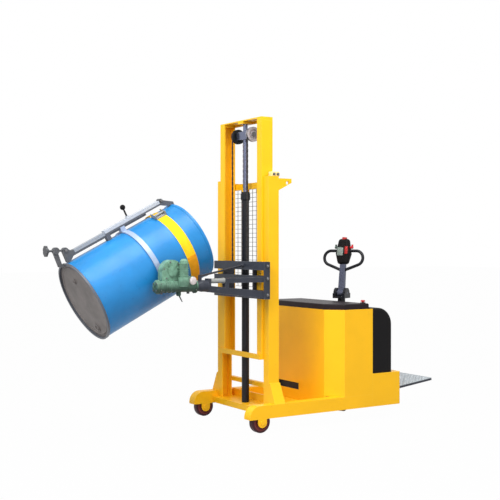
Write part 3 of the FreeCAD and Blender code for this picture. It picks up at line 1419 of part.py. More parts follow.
def clamp_jaw():
    """Jaw nut: round head on the screw and a level leg with a toe on the top chime."""
    half = JAW_PLATE / 2
    lean = math.radians(SCREW_LEAN)
    head_x = BOSS_X - JAW_ALONG * math.sin(lean)
    head_z = BOSS_Z + JAW_ALONG * math.cos(lean)
    toe_low = DRUM_HALF + RUN_GAP
    leg_low = DRUM_HALF + JAW_LEG_LOW
    leg_top = leg_low + JAW_LEG_WIDTH
    toe_in = CHIME_X + JAW_TOE_IN
    outline = [
        (head_x - JAW_HEAD_RADIUS / 2, head_z - JAW_HEAD_RADIUS / 2),
        (CHIME_X - JAW_TOE_OUT, leg_low),
        (CHIME_X - JAW_TOE_OUT, toe_low),
        (toe_in, toe_low),
        (toe_in, leg_low),
        (CHIME_X, leg_top),
        (head_x, head_z + JAW_HEAD_RADIUS),
    ]
    leg = prism("y", outline, -half, half)
    head = round_bar("y", Vector(head_x, -JAW_PLATE, head_z), JAW_HEAD_RADIUS, JAW_PLATE + JAW_PLATE)
    thread = on_screw(Part.makeCylinder(SCREW_RADIUS + SHAFT_GAP, KNOB_ALONG))
    return tipped(on_drum(join([leg, head]).cut(thread)))


def clamp_screw():
    """Hand screw from the bracket's boss through the jaw, with a lobed disc knob."""
    profile = [
        (0, -SCREW_TAIL),
        (SCREW_RADIUS, -SCREW_TAIL),
        (SCREW_RADIUS, KNOB_ALONG - KNOB_HUB),
        (KNOB_HUB, KNOB_ALONG - KNOB_HUB),
        (KNOB_HUB, KNOB_ALONG),
        (KNOB_RADIUS, KNOB_ALONG),
        (KNOB_RADIUS, KNOB_ALONG + KNOB_THICKNESS),
        (0, KNOB_ALONG + KNOB_THICKNESS),
    ]
    screw = lathe(profile, Vector(0, 0, 0), "z")
    for lobe in range(KNOB_LOBE_COUNT):
        turn = math.radians(FULL_TURN * lobe / KNOB_LOBE_COUNT)
        at = Vector(KNOB_RADIUS * math.cos(turn), KNOB_RADIUS * math.sin(turn), KNOB_ALONG)
        screw = screw.cut(Part.makeCylinder(KNOB_LOBE_RADIUS, KNOB_THICKNESS, at))
    return tipped(on_drum(on_screw(screw)))


def drum_strap():
    """Webbing loop drawn tight round the drum."""
    low = -STRAP_DOWN - STRAP_WIDTH / 2
    inner = DRUM_RADIUS + RUN_GAP
    outer = round_bar("z", Vector(0, 0, low), inner + STRAP_THICKNESS, STRAP_WIDTH)
    strap = outer.cut(round_bar("z", Vector(0, 0, low), inner, STRAP_WIDTH))
    return tipped(on_drum(strap))


def on_strap(shape):
    """Moves a ratchet piece, made flat with Z outward, to its place on the strap."""
    outer = DRUM_RADIUS + RUN_GAP + STRAP_THICKNESS
    shape.rotate(Vector(0, 0, 0), Vector(0, 1, 0), RIGHT_ANGLE)
    shape.translate(Vector(outer, 0, -STRAP_DOWN))
    shape.rotate(Vector(0, 0, 0), Vector(0, 0, 1), RATCHET_ANGLE + RIGHT_ANGLE)
    return tipped(on_drum(shape))


def strap_ratchet():
    """Ratchet frame: two cheeks and a base bedded on the strap, with the spool between them."""
    half_length = RATCHET_LENGTH / 2
    half_width = RATCHET_WIDTH / 2
    low = -RATCHET_CHEEK
    base = box(-half_width, half_width, -half_length, half_length, low, RATCHET_CHEEK)
    pieces = [base]
    for x0 in (-half_width, half_width - RATCHET_CHEEK):
        pieces.append(box(x0, x0 + RATCHET_CHEEK, -half_length, half_length, low, RATCHET_HEIGHT))
    spool_start = Vector(-half_width, 0, RATCHET_HEIGHT / 2)
    pieces.append(round_bar("x", spool_start, RATCHET_SPOOL_RADIUS, RATCHET_WIDTH))
    outer = DRUM_RADIUS + RUN_GAP + STRAP_THICKNESS
    bed_start = Vector(-half_width - CUT_OVERRUN, 0, -outer)
    bed = round_bar("x", bed_start, outer + RUN_GAP, RATCHET_WIDTH + CUT_OVERRUN + CUT_OVERRUN)
    return on_strap(join(pieces).cut(bed))


def body_outline(front, rear, half, chamfer):
    """Plan outline of the body with its front corners cut off."""
    return [
        (front, -half + chamfer),
        (front, half - chamfer),
        (front - chamfer, half),
        (rear, half),
        (rear, -half),
        (front - chamfer, -half),
    ]


def body_shell():
    """Sheet-metal body: front, cut corners and sides, with a slot low in front."""
    wall = BODY_WALL
    mitre = wall * math.tan(math.radians(RIGHT_ANGLE) / 4)
    outer = body_outline(BODY_FRONT, BODY_REAR, LEG_OUTER, BODY_CHAMFER)
    inner_chamfer = BODY_CHAMFER - wall - wall + mitre + mitre
    inner = body_outline(BODY_FRONT - wall, BODY_REAR - CUT_OVERRUN, LEG_OUTER - wall, inner_chamfer)
    shell = prism("z", outer, LEG_TOP, BODY_TOP)
    shell = shell.cut(prism("z", inner, LEG_TOP - CUT_OVERRUN, BODY_TOP + CUT_OVERRUN))
    apron = box(BODY_FRONT - wall, BODY_FRONT, -LEG_INNER, LEG_INNER, DECK_TOP, LEG_TOP)
    slot = box(
        BODY_FRONT - wall - CUT_OVERRUN, BODY_FRONT + CUT_OVERRUN, BODY_SLOT_RIGHT, BODY_SLOT_LEFT,
        BODY_SLOT_LOW, BODY_SLOT_LOW + BODY_SLOT_HEIGHT
    )
    pieces = [shell.cut(slot), apron.cut(slot), lid_rail()]
    return join(pieces)


def hinge_bar(radius, y0, y1):
    """Round bar on the lid's hinge line."""
    return round_bar("y", Vector(LID_HINGE_X, y0, LID_HINGE_Z), radius, y1 - y0)


def lid_rail():
    """Rail across the rear of the body with the lugs and pins of the lid hinge."""
    half = LEG_OUTER - BODY_WALL
    top = BODY_TOP - LID_RAIL_DROP
    rear = LID_HINGE_X - LID_RAIL_LENGTH / 2
    rail = box(rear, rear + LID_RAIL_LENGTH, -half, half, top - LID_RAIL_HEIGHT, top)
    pieces = [rail]
    for side in (LEFT, RIGHT):
        near = side * LID_KNUCKLE_Y - LID_KNUCKLE_LENGTH / 2
        far = near + LID_KNUCKLE_LENGTH
        for y0 in (near - RUN_GAP - LID_LUG, far + RUN_GAP):
            y1 = y0 + LID_LUG
            radius = LID_KNUCKLE_RADIUS
            pieces.append(hinge_bar(radius, y0, y1))
            pieces.append(box(LID_HINGE_X - radius, LID_HINGE_X + radius, y0, y1, top, LID_HINGE_Z))
        pieces.append(hinge_bar(LID_PIN_RADIUS, near - RUN_GAP, far + RUN_GAP))
    return join(pieces)


def lid_knuckles():
    """Two bored knuckles on the rear edge of the lid."""
    pieces = []
    for side in (LEFT, RIGHT):
        y0 = side * LID_KNUCKLE_Y - LID_KNUCKLE_LENGTH / 2
        y1 = y0 + LID_KNUCKLE_LENGTH
        low = LID_HINGE_Z - LID_KNUCKLE_RADIUS / 2
        arm = box(LID_HINGE_X, LID_REAR, y0, y1, low, LID_HINGE_Z + LID_KNUCKLE_RADIUS)
        knuckle = join([hinge_bar(LID_KNUCKLE_RADIUS, y0, y1), arm])
        bore = hinge_bar(LID_PIN_RADIUS + SHAFT_GAP, y0 - CUT_OVERRUN, y1 + CUT_OVERRUN)
        pieces.append(knuckle.cut(bore))
    return pieces


def battery_lid():
    """Moulded tray lid over the battery, rounded along its top edges, with hinge knuckles."""
    half = LEG_OUTER - LID_MARGIN
    front = BODY_FRONT - LID_MARGIN
    low = BODY_TOP + RUN_GAP
    blank = prism("z", body_outline(front, LID_REAR, half, BODY_CHAMFER), low, LID_TOP)
    rim = [edge for edge in blank.Edges if abs(edge.CenterOfMass.z - LID_TOP) < RUN_GAP]
    blank = blank.makeFillet(LID_ROUND, rim)
    wall = LID_WALL
    pocket = body_outline(front - wall, LID_REAR + wall, half - wall, BODY_CHAMFER)
    blank = blank.cut(prism("z", pocket, low - CUT_OVERRUN, LID_TOP - LID_ROUND - wall))
    collar = round_bar("z", Vector(STOP_X, STOP_Y, LID_TOP), STOP_COLLAR_RADIUS, STOP_COLLAR)
    hole_start = Vector(STOP_X, STOP_Y, LID_TOP - LID_ROUND - wall - CUT_OVERRUN)
    hole = round_bar("z", hole_start, STOP_STEM_RADIUS + SHAFT_GAP, LID_HEIGHT + STOP_STEM)
    return join([blank, collar] + lid_knuckles()).cut(hole)


def stop_button():
    """Mushroom stop button on its stem."""
    low = LID_TOP - LID_ROUND
    cap = LID_TOP + STOP_COLLAR + STOP_STEM
    top = cap + STOP_HEIGHT
    edge = STOP_HEIGHT / 2
    profile = [
        (0, low),
        (STOP_STEM_RADIUS, low),
        (STOP_STEM_RADIUS, cap),
        (STOP_RADIUS, cap),
        (STOP_RADIUS, cap + edge),
        (STOP_RADIUS - edge, top),
        (0, top),
    ]
    return lathe(profile, Vector(STOP_X, STOP_Y, 0), "z")


def battery_pack():
    """Battery case on the counterweight, grooved between its cells."""
    front = BODY_FRONT - BATTERY_GAP
    rear = front - BATTERY_LENGTH
    half = BATTERY_HALF_WIDTH
    case = box(rear, front, -half, half, WEIGHT_TOP, BATTERY_TOP)
    pitch = (half + half) / BATTERY_CELLS
    grooves = []
    for cell in range(1, BATTERY_CELLS):
        y0 = -half + cell * pitch - BATTERY_CELL_GROOVE / 2
        grooves.append(
            box(
                rear - CUT_OVERRUN, front + CUT_OVERRUN, y0, y0 + BATTERY_CELL_GROOVE,
                BATTERY_TOP - BATTERY_CELL_GROOVE, BATTERY_TOP + CUT_OVERRUN
            )
        )
    return cut(case, grooves)


def counterweight():
    """Cast slab on the deck under the battery."""
    front = BODY_FRONT - BODY_WALL
    return box(DECK_REAR, front, -LEG_INNER, LEG_INNER, DECK_TOP, WEIGHT_TOP)


def power_unit():
    """Hydraulic power unit: oil tank with the pump motor standing on it."""
    half_length = TANK_LENGTH / 2
    half_width = TANK_WIDTH / 2
    tank = box(
        POWER_X - half_length, POWER_X + half_length, POWER_Y - half_width, POWER_Y + half_width,
        DECK_TOP, TANK_TOP
    )
    half = POWER_MOTOR_RADIUS
    tank = rounded(tank, TANK_LENGTH / 8, "z", lambda at: True)
    motor = round_bar("z", Vector(POWER_X, POWER_Y, TANK_TOP), half, POWER_MOTOR_TOP - TANK_TOP)
    return join([tank, motor])


def rear_base():
    """Drive housing at the rear, open below, with the turntable hole and step lugs."""
    wall = BASE_WALL
    blank = box(BASE_REAR, BODY_REAR, -LEG_OUTER, LEG_OUTER, LEG_BOTTOM, BASE_TOP)
    blank = rounded(blank, BASE_ROUND, "z", lambda at: at.x < BODY_REAR - BASE_ROUND)
    hollow = box(
        BASE_REAR + wall, BODY_REAR + CUT_OVERRUN, -LEG_OUTER + wall, LEG_OUTER - wall,
        LEG_BOTTOM - CUT_OVERRUN, BASE_TOP - wall
    )
    hole_start = Vector(DRIVE_X, 0, BASE_TOP - wall - CUT_OVERRUN)
    hole = round_bar("z", hole_start, TURNTABLE_RADIUS + RUN_GAP, wall + CUT_OVERRUN + CUT_OVERRUN)
    pieces = [cut(blank, [hollow, hole])]
    for side in (LEFT, RIGHT):
        y0 = side * STEP_LUG_Y
        y1 = y0 + side * STEP_LUG
        start = Vector(STEP_HINGE_X, min(y0, y1), STEP_HINGE_Z)
        lug = round_bar("y", start, STEP_LUG_RADIUS, STEP_LUG)
        strap_low = STEP_HINGE_Z - STEP_LUG_RADIUS
        strap_high = STEP_HINGE_Z + STEP_LUG_RADIUS
        strap = box(STEP_HINGE_X, BASE_REAR, y0, y1, strap_low, strap_high)
        pin = round_bar("y", start, STEP_PIN_RADIUS + SHAFT_GAP, STEP_LUG)
        pieces.append(join([lug, strap]).cut(pin))
    return join(pieces)


def cover_blank(inset, overrun):
    """Solid rear cover with a round crown and sides, drawn in by an inset for its hollow."""
    half = LEG_OUTER - COVER_SIDE_INSET - inset
    rear = COVER_REAR + inset
    top = COVER_TOP - inset
    front = BODY_REAR + overrun
    low = BASE_TOP - overrun
    blank = box(rear, front, -half, half, low, top)
    crown = COVER_CROWN_RADIUS - inset
    blank = rounded(blank, crown, "y", lambda at: at.x < rear + RUN_GAP and at.z > top - RUN_GAP)
    side = [
        edge
        for edge in blank.Edges
        if abs(abs(edge.CenterOfMass.y) - half) < RUN_GAP
        and edge.CenterOfMass.x < front - RUN_GAP
        and edge.CenterOfMass.z > low + RUN_GAP
    ]
    return blank.makeFillet(COVER_EDGE_ROUND - inset, side)


def rear_cover():
    """Moulded rear cover, open in front and below, with the column hole."""
    hole_start = Vector(DRIVE_X, 0, COVER_TOP - COVER_EDGE_ROUND)
    hole = round_bar("z", hole_start, COLUMN_HOLE_RADIUS, COVER_EDGE_ROUND + CUT_OVERRUN)
    return cut(cover_blank(0, 0), [cover_blank(COVER_WALL, CUT_OVERRUN), hole])


def steered(shape):
    """Turns a piece of the drive unit about the steering axis to its rest angle."""
    shape.translate(Vector(DRIVE_X, 0, 0))
    shape.rotate(Vector(DRIVE_X, 0, 0), Vector(0, 0, 1), STEER_REST)
    return shape


def drive_unit():
    """Drive gear case, turntable and motor above the drive wheel."""
    half = DRIVE_WHEEL_WIDTH / 2
    y0 = half + RUN_GAP
    y1 = y0 + DRIVE_CASE_THICKNESS
    case = round_bar("y", Vector(0, y0, DRIVE_WHEEL_RADIUS), DRIVE_CASE_RADIUS, DRIVE_CASE_THICKNESS)
    leg = box(-DRIVE_CASE_RADIUS, DRIVE_CASE_RADIUS, y0, y1, DRIVE_WHEEL_RADIUS, TURNTABLE_LOW)
    axle = round_bar("y", Vector(0, -half, DRIVE_WHEEL_RADIUS), DRIVE_AXLE_RADIUS, half + y1)
    disc = round_bar("z", Vector(0, 0, TURNTABLE_LOW), TURNTABLE_RADIUS, TURNTABLE_HEIGHT)
    motor_low = TURNTABLE_LOW + TURNTABLE_HEIGHT
    motor = round_bar("z", Vector(0, 0, motor_low), DRIVE_MOTOR_RADIUS, DRIVE_MOTOR_TOP - motor_low)
    return steered(join([case, leg, axle, disc, motor]))


def drive_wheel():
    """Drive wheel: hub disc and its bonded tyre."""
    half = DRIVE_WHEEL_WIDTH / 2
    rim = DRIVE_WHEEL_RADIUS - DRIVE_TYRE_THICKNESS
    bore = DRIVE_AXLE_RADIUS + SHAFT_GAP
    centre = Vector(0, 0, DRIVE_WHEEL_RADIUS)
    hub = lathe([(bore, -half), (rim, -half), (rim, half), (bore, half)], centre, "y")
    tread = aim(tyre(DRIVE_WHEEL_RADIUS, DRIVE_TYRE_THICKNESS, DRIVE_WHEEL_WIDTH, DRIVE_TYRE_CHAMFER), "y")
    tread.translate(centre)
    return steered(group([hub, tread]))


def steering_column():
    """Column from the drive motor to the fork that holds the tiller."""
    column_top = TILLER_BLOCK_LOW - DRIVE_MOTOR_TOP
    column = round_bar("z", Vector(0, 0, DRIVE_MOTOR_TOP), COLUMN_RADIUS, column_top)
    half_length = TILLER_BLOCK_LENGTH / 2
    inner = TILLER_HUB_WIDTH / 2 + RUN_GAP
    outer = inner + TILLER_CHEEK
    floor = TILLER_BLOCK_LOW + TILLER_BLOCK_FLOOR
    base = box(-half_length, half_length, -outer, outer, TILLER_BLOCK_LOW, floor)
    pieces = [column, base]
    for y0 in (-outer, inner):
        y1 = y0 + TILLER_CHEEK
        pieces.append(round_bar("y", Vector(0, y0, TILLER_PIVOT_Z), TILLER_CHEEK_RADIUS, TILLER_CHEEK))
        pieces.append(box(-half_length, half_length, y0, y1, TILLER_BLOCK_LOW, TILLER_PIVOT_Z))
    bore = round_bar("y", Vector(0, -outer, TILLER_PIVOT_Z), TILLER_PIN_RADIUS + SHAFT_GAP, outer + outer)
    below = box(-half_length, half_length, -outer, outer, DRIVE_MOTOR_TOP, TILLER_BLOCK_LOW)
    block = join(pieces).cut(bore)
    spill = cut(below, [round_bar("z", Vector(0, 0, DRIVE_MOTOR_TOP), COLUMN_RADIUS, column_top)])
    return steered(block.cut(spill))


def leaned(shape):
    """Places a tiller piece, made upright on its pivot, at its lean and steer angle."""
    shape.rotate(Vector(0, 0, 0), Vector(0, 1, 0), -TILLER_LEAN)
    shape.translate(Vector(0, 0, TILLER_PIVOT_Z))
    return steered(shape)


def tapered_post(low, high, low_size, high_size):
    """Flat-sided solid between two rectangles on the Z axis."""
    x_low, y_low = low_size[0] / 2, low_size[1] / 2
    x_high, y_high = high_size[0] / 2, high_size[1] / 2
    post = Part.makeWedge(-x_low, low, -y_low, -y_high, -x_high, x_low, high, y_low, y_high, x_high)
    post.rotate(Vector(0, 0, 0), Vector(1, 0, 0), RIGHT_ANGLE)
    return post


def tiller_arm_blank():
    """Tiller arm on its pivot, upright."""
    half = TILLER_HUB_WIDTH / 2
    outer = half + RUN_GAP + TILLER_CHEEK
    hub = round_bar("y", Vector(0, -half, 0), TILLER_HUB_RADIUS, TILLER_HUB_WIDTH)
    pin = round_bar("y", Vector(0, -outer, 0), TILLER_PIN_RADIUS, outer + outer)
    post = tapered_post(
        0, HEAD_LOW, (TILLER_ARM_DEPTH, TILLER_ARM_WIDTH), (TILLER_ARM_TIP_DEPTH, TILLER_ARM_TIP_WIDTH)
    )
    return join([hub, pin, post])


def head_blank():
    """Moulded tiller head, upright, widest at its middle and rounded all over."""
    middle = HEAD_LOW + HEAD_MIDDLE_RISE
    top = HEAD_LOW + HEAD_HEIGHT
    widest = (HEAD_DEPTH, HEAD_WIDTH)
    lower = tapered_post(HEAD_LOW, middle, (HEAD_FOOT_DEPTH, HEAD_FOOT_WIDTH), widest)
    upper = tapered_post(middle, top, widest, (HEAD_TOP_DEPTH, HEAD_TOP_WIDTH))
    blank = join([lower, upper])
    return blank.makeFillet(HEAD_ROUND, blank.Edges)


def throttle_blank():
    """Thumb throttle: a cross shaft with a paddle at each end."""
    shaft = round_bar(
        "y", Vector(0, -THROTTLE_REACH, THROTTLE_RISE), THROTTLE_RADIUS, THROTTLE_REACH + THROTTLE_REACH
    )
    pieces = [shaft]
    side_half = HEAD_WIDTH / 2 + RUN_GAP
    for side in (LEFT, RIGHT):
        half = PADDLE_THICKNESS / 2
        pieces.append(
            box(
                -half, half, side * side_half, side * THROTTLE_REACH,
                THROTTLE_RISE, THROTTLE_RISE + PADDLE_LENGTH
            )
        )
    return join(pieces)


def button_blank(gap):
    """Plunger of the safety button in the head's top, widened by a gap for its well."""
    low = HEAD_LOW + HEAD_HEIGHT - BUTTON_DEPTH
    return round_bar("z", Vector(0, 0, low), BUTTON_RADIUS + gap, BUTTON_DEPTH + BUTTON_HEIGHT)


def tiller_head():
    """Head shell with the throttle bore and the button's well."""
    bore = round_bar(
        "y", Vector(0, -HEAD_WIDTH, THROTTLE_RISE), THROTTLE_RADIUS + SHAFT_GAP, HEAD_WIDTH + HEAD_WIDTH
    )
    well = button_blank(RUN_GAP)
    well.translate(Vector(0, 0, -BUTTON_FLOOR))
    return leaned(cut(head_blank(), [bore, well]))


def tiller_loops():
    """Two round hand loops from the head, bent back down to the arm on a slant."""
    across = Vector(1, 0, 0)
    straight = LOOP_REACH - LOOP_BEND
    centre = Vector(0, straight, LOOP_HIGH - LOOP_BEND)
    ring = Part.Wire([Part.makeCircle(LOOP_RADIUS, centre + Vector(0, 0, LOOP_BEND), Vector(0, 1, 0))])
    swing = RIGHT_ANGLE + RIGHT_ANGLE - LOOP_SLOPE
    bend = Part.Face(ring).revolve(centre, across, -swing)
    slope = math.radians(LOOP_SLOPE)
    end = centre + Vector(0, math.sin(slope) * LOOP_BEND, -math.cos(slope) * LOOP_BEND)
    inward = Vector(0, -math.cos(slope), -math.sin(slope))
    tube = join(
        [
            round_bar("y", Vector(0, 0, LOOP_HIGH), LOOP_RADIUS, straight),
            bend,
            Part.makeCylinder(LOOP_RADIUS, end.y / math.cos(slope), end, inward),
        ]
    )
    tube = cut(tube, [head_blank(), tiller_arm_blank()])
    loop = max(tube.Solids, key=lambda solid: solid.Volume)
    return leaned(group([loop, mirrored(loop)]))


def folding_step():
    """Tread plate with down-turned edges and stub hinge pins."""
    length = STEP_LENGTH
    half = STEP_HALF_WIDTH
    outer = box(-length, 0, -half, half, -STEP_EDGE, 0)
    corner = straight_edges(outer, "z", lambda at: at.x < -length + RUN_GAP)
    outer = outer.makeFillet(STEP_CORNER, corner)
    wall = STEP_PLATE
    hollow = box(-length + wall, -wall, -half + wall, half - wall, -STEP_EDGE - CUT_OVERRUN, -wall)
    corner = straight_edges(hollow, "z", lambda at: at.x < -length + wall + RUN_GAP)
    hollow = hollow.makeFillet(STEP_CORNER - wall, corner)
    plate = outer.cut(hollow)
    front_gap = STEP_LUG_RADIUS + RUN_GAP
    lug_end = STEP_LUG_Y + STEP_LUG + RUN_GAP
    for side in (LEFT, RIGHT):
        y0 = side * (STEP_LUG_Y - RUN_GAP)
        plate = plate.cut(box(-front_gap, CUT_OVERRUN, y0, side * lug_end, -half, half))
    pieces = [plate]
    barrel_z = -STEP_EDGE / 2
    for side in (LEFT, RIGHT):
        y0 = side * (STEP_LUG_Y - STEP_LUG - RUN_GAP)
        start = Vector(0, min(y0, side * lug_end), barrel_z)
        pieces.append(round_bar("y", start, STEP_PIN_RADIUS, abs(side * lug_end - y0)))
    step = join(pieces)
    step.translate(Vector(0, 0, -barrel_z))
    step.rotate(Vector(0, 0, 0), Vector(0, 1, 0), STEP_RISE_ANGLE)
    step.translate(Vector(STEP_HINGE_X, 0, STEP_HINGE_Z))
    return step


def make_nodes():
    """Every node of the part by name."""
    leg = left_leg()
    wheel = left_wheel()
    upright = outer_upright()
    inner = inner_upright()
    sheave = left_sheave()
    nodes = {
        "leg_left": leg,
        "leg_right": mirrored(leg),
        "load_axles": group([left_axle(), mirrored(left_axle())]),
        "load_wheel_left": wheel,
        "load_wheel_right": group([mirrored(wheel)]),
        "chassis_deck": chassis_deck(),
        "outer_mast_left": upright,
        "outer_mast_right": mirrored(upright),
        "outer_cross_bars": outer_cross_bars(),
        "mast_guard": mast_guard(),
        "inner_mast_left": inner,
        "inner_mast_right": mirrored(inner),
        "inner_cross_bars": inner_cross_bars(),
        "mast_rollers": mast_rollers(),
        "lift_cylinder": lift_cylinder(),
        "cylinder_gland": cylinder_gland(),
        "lift_rod": lift_rod(),
        "sheave_axle": sheave_axle(),
        "chain_sheaves": group([sheave, mirrored(sheave)]),
        "lift_chains": group([left_chain(), mirrored(left_chain())]),
        "carriage_bars": carriage_bars(),
        "carriage_plates": carriage_plates(),
        "carriage_rollers_low": carriage_rollers(CARRIAGE_ROLLER_LOW),
        "carriage_rollers_high": carriage_rollers(CARRIAGE_ROLLER_HIGH),
        "tilt_arm": tilt_arm(),
        "gearbox_housing": gearbox_housing(),
        "gearbox_cover": gearbox_cover(),
        "tilt_motor": tilt_motor(),
        "tilt_release": tilt_release(),
        "arm_stay": arm_stay(),
        "arm_sleeve": arm_sleeve(),
        "trunnion": trunnion(),
        "holder_hoop": holder_hoop(),
        "clamp_bar": clamp_bar(),
        "lock_plunger": lock_plunger(),
        "clamp_slider": clamp_slider(),
        "clamp_jaw": clamp_jaw(),
        "clamp_screw": clamp_screw(),
        "drum_strap": drum_strap(),
        "strap_ratchet": strap_ratchet(),
        "drum_shell": drum_shell(),
        "drum_head": drum_head(),
        "drum_bungs": group([bung(BUNG_RADIUS, BUNG_OFFSET), bung(VENT_RADIUS, -VENT_OFFSET)]),
        "body_shell": body_shell(),
        "battery_lid": battery_lid(),
        "stop_button": stop_button(),
        "battery_pack": battery_pack(),
        "counterweight": counterweight(),
        "power_unit": power_unit(),
        "rear_base": rear_base(),
        "rear_cover": rear_cover(),
        "drive_unit": drive_unit(),
        "drive_wheel": drive_wheel(),
        "steering_column": steering_column(),
        "tiller_arm": leaned(tiller_arm_blank()),
        "tiller_head": tiller_head(),
        "tiller_loops": tiller_loops(),
        "throttle": leaned(throttle_blank()),
        "safety_button": leaned(button_blank(0)),
        "folding_step": folding_step(),
    }
    return nodes


def main():
    """Writes one file for each node."""
    os.makedirs("parts", exist_ok=True)
    for name, shape in make_nodes().items():
        shape.exportStep("parts/" + name + ".step")


main()
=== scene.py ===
"""Looks of the drum tipper: finishes, small fittings, chains, webbing, light and camera.

Lengths are metres in the part's own frame: X forward to the drum, Y to the left, Z up.
"""

import json
import logging
import math
from dataclasses import dataclass, field
from enum import Enum
from typing import ClassVar

import bmesh
import bpy
from mathutils import Matrix, Vector


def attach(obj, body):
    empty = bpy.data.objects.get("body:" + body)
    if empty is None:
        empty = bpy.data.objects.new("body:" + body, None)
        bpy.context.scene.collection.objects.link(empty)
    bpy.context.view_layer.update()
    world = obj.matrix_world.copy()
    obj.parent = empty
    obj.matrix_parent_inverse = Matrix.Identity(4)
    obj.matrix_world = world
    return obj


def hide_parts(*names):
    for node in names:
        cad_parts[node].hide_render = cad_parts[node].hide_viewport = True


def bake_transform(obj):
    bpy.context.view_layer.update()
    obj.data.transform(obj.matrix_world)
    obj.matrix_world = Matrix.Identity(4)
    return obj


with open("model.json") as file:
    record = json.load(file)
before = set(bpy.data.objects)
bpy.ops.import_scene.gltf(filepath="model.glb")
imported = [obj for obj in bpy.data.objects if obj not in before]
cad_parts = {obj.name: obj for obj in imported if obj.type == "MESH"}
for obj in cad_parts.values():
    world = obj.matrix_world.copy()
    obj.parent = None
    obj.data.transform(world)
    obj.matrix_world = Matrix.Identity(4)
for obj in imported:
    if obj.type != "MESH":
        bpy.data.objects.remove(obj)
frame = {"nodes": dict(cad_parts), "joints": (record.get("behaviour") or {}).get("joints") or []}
LOG = logging.getLogger("drum_tipper")
JOINTS = {joint["name"]: joint for joint in frame["joints"]}
Colour = tuple[float, float, float, float]
Point = tuple[float, float, float]
Pair = tuple[float, float]
Seat = tuple[Vector, Vector]
Mesh = bmesh.types.BMesh
Socket = bpy.types.NodeSocket
Thing = bpy.types.Object
AHEAD = Vector((1.0, 0.0, 0.0)).freeze()
LEFT = Vector((0.0, 1.0, 0.0)).freeze()
UP = Vector((0.0, 0.0, 1.0)).freeze()
DOWN = Vector((0.0, 0.0, -1.0)).freeze()
AS_BUILT = Matrix.Identity(4).freeze()
BOTH_SIDES: Pair = (-1.0, 1.0)
WHOLE: Pair = (0.0, 1.0)
WHITE: Colour = (1.0, 1.0, 1.0, 1.0)


class Weave(Enum):
    """Surface patterns that a finish can carry."""

    GRAIN = "grain"
    BRUSHED = "brushed"
    WEBBING = "webbing"


def srgb(red: float, green: float, blue: float) -> Colour:
    """Turns display values from 0 to 255 into linear light, by the curve of the display standard.

    Args:
        red: Red display value.
        green: Green display value.
        blue: Blue display value.

    Returns:
        The same colour in linear light, opaque.
    """
    parts = []
    for value in (red, green, blue):
        share = value / 255
        parts.append(share / 12.92 if share <= 0.04045 else ((share + 0.055) / 1.055) ** 2.4)
    return (*parts, 1.0)


def about(axis: str, degrees: float) -> Matrix:
    """Gives the matrix of a turn about an axis."""
    return Matrix.Rotation(math.radians(degrees), 3, axis)


def placed(name: str, data: bpy.types.ID) -> Thing:
    """Puts a new object with its data in the scene.

    Args:
        name: Object name.
        data: Its mesh, light or camera.

    Returns:
        The object.
    """
    thing = bpy.data.objects.new(name, data)
    bpy.context.scene.collection.objects.link(thing)
    return thing


def settled(name: str, mesh: Mesh) -> bpy.types.Mesh:
    """Keeps a built mesh as data and frees it.

    Args:
        name: Name of the data.
        mesh: The built mesh.

    Returns:
        The mesh data.
    """
    data = bpy.data.meshes.new(name)
    mesh.to_mesh(data)
    mesh.free()
    return data


@dataclass(frozen=True)
class Plane:
    """A plane, by the way that it faces and its distance from the origin that way."""

    direction: Point
    distance: float


@dataclass(frozen=True)
class TurnedFrame:
    """The frame of a piece that stands turned about a pivot, with points given as before the turn."""

    pivot: Point
    turn: Matrix
    middle: Point = (0.0, 0.0, 0.0)

    def point(self, x: float, y: float, z: float) -> Vector:
        """Places a point, measured from the middle, in the part's frame."""
        return Vector(self.pivot) + self.turn @ (Vector(self.middle) + Vector((x, y, z)))

    def direction(self, x: float, y: float, z: float) -> Vector:
        """Turns a direction into the part's frame."""
        return self.turn @ Vector((x, y, z))

    def round_point(self, radius: float, angle: float, z: float) -> Vector:
        """Places a point at a radius, with the angle in degrees from the piece's rear towards its left."""
        turn = math.radians(angle)
        return self.point(-radius * math.cos(turn), radius * math.sin(turn), z)

    def plane(self, facing: Vector, through: Point) -> Plane:
        """Turns a plane, given by the way that it faces and a point on it."""
        direction = self.direction(*facing)
        return Plane(tuple(direction), direction.dot(self.point(*through)))

    def matrix(self) -> Matrix:
        """Gives the matrix that lays a mesh, made about the pivot, in the part's frame."""
        return Matrix.Translation(self.pivot) @ self.turn.to_4x4()


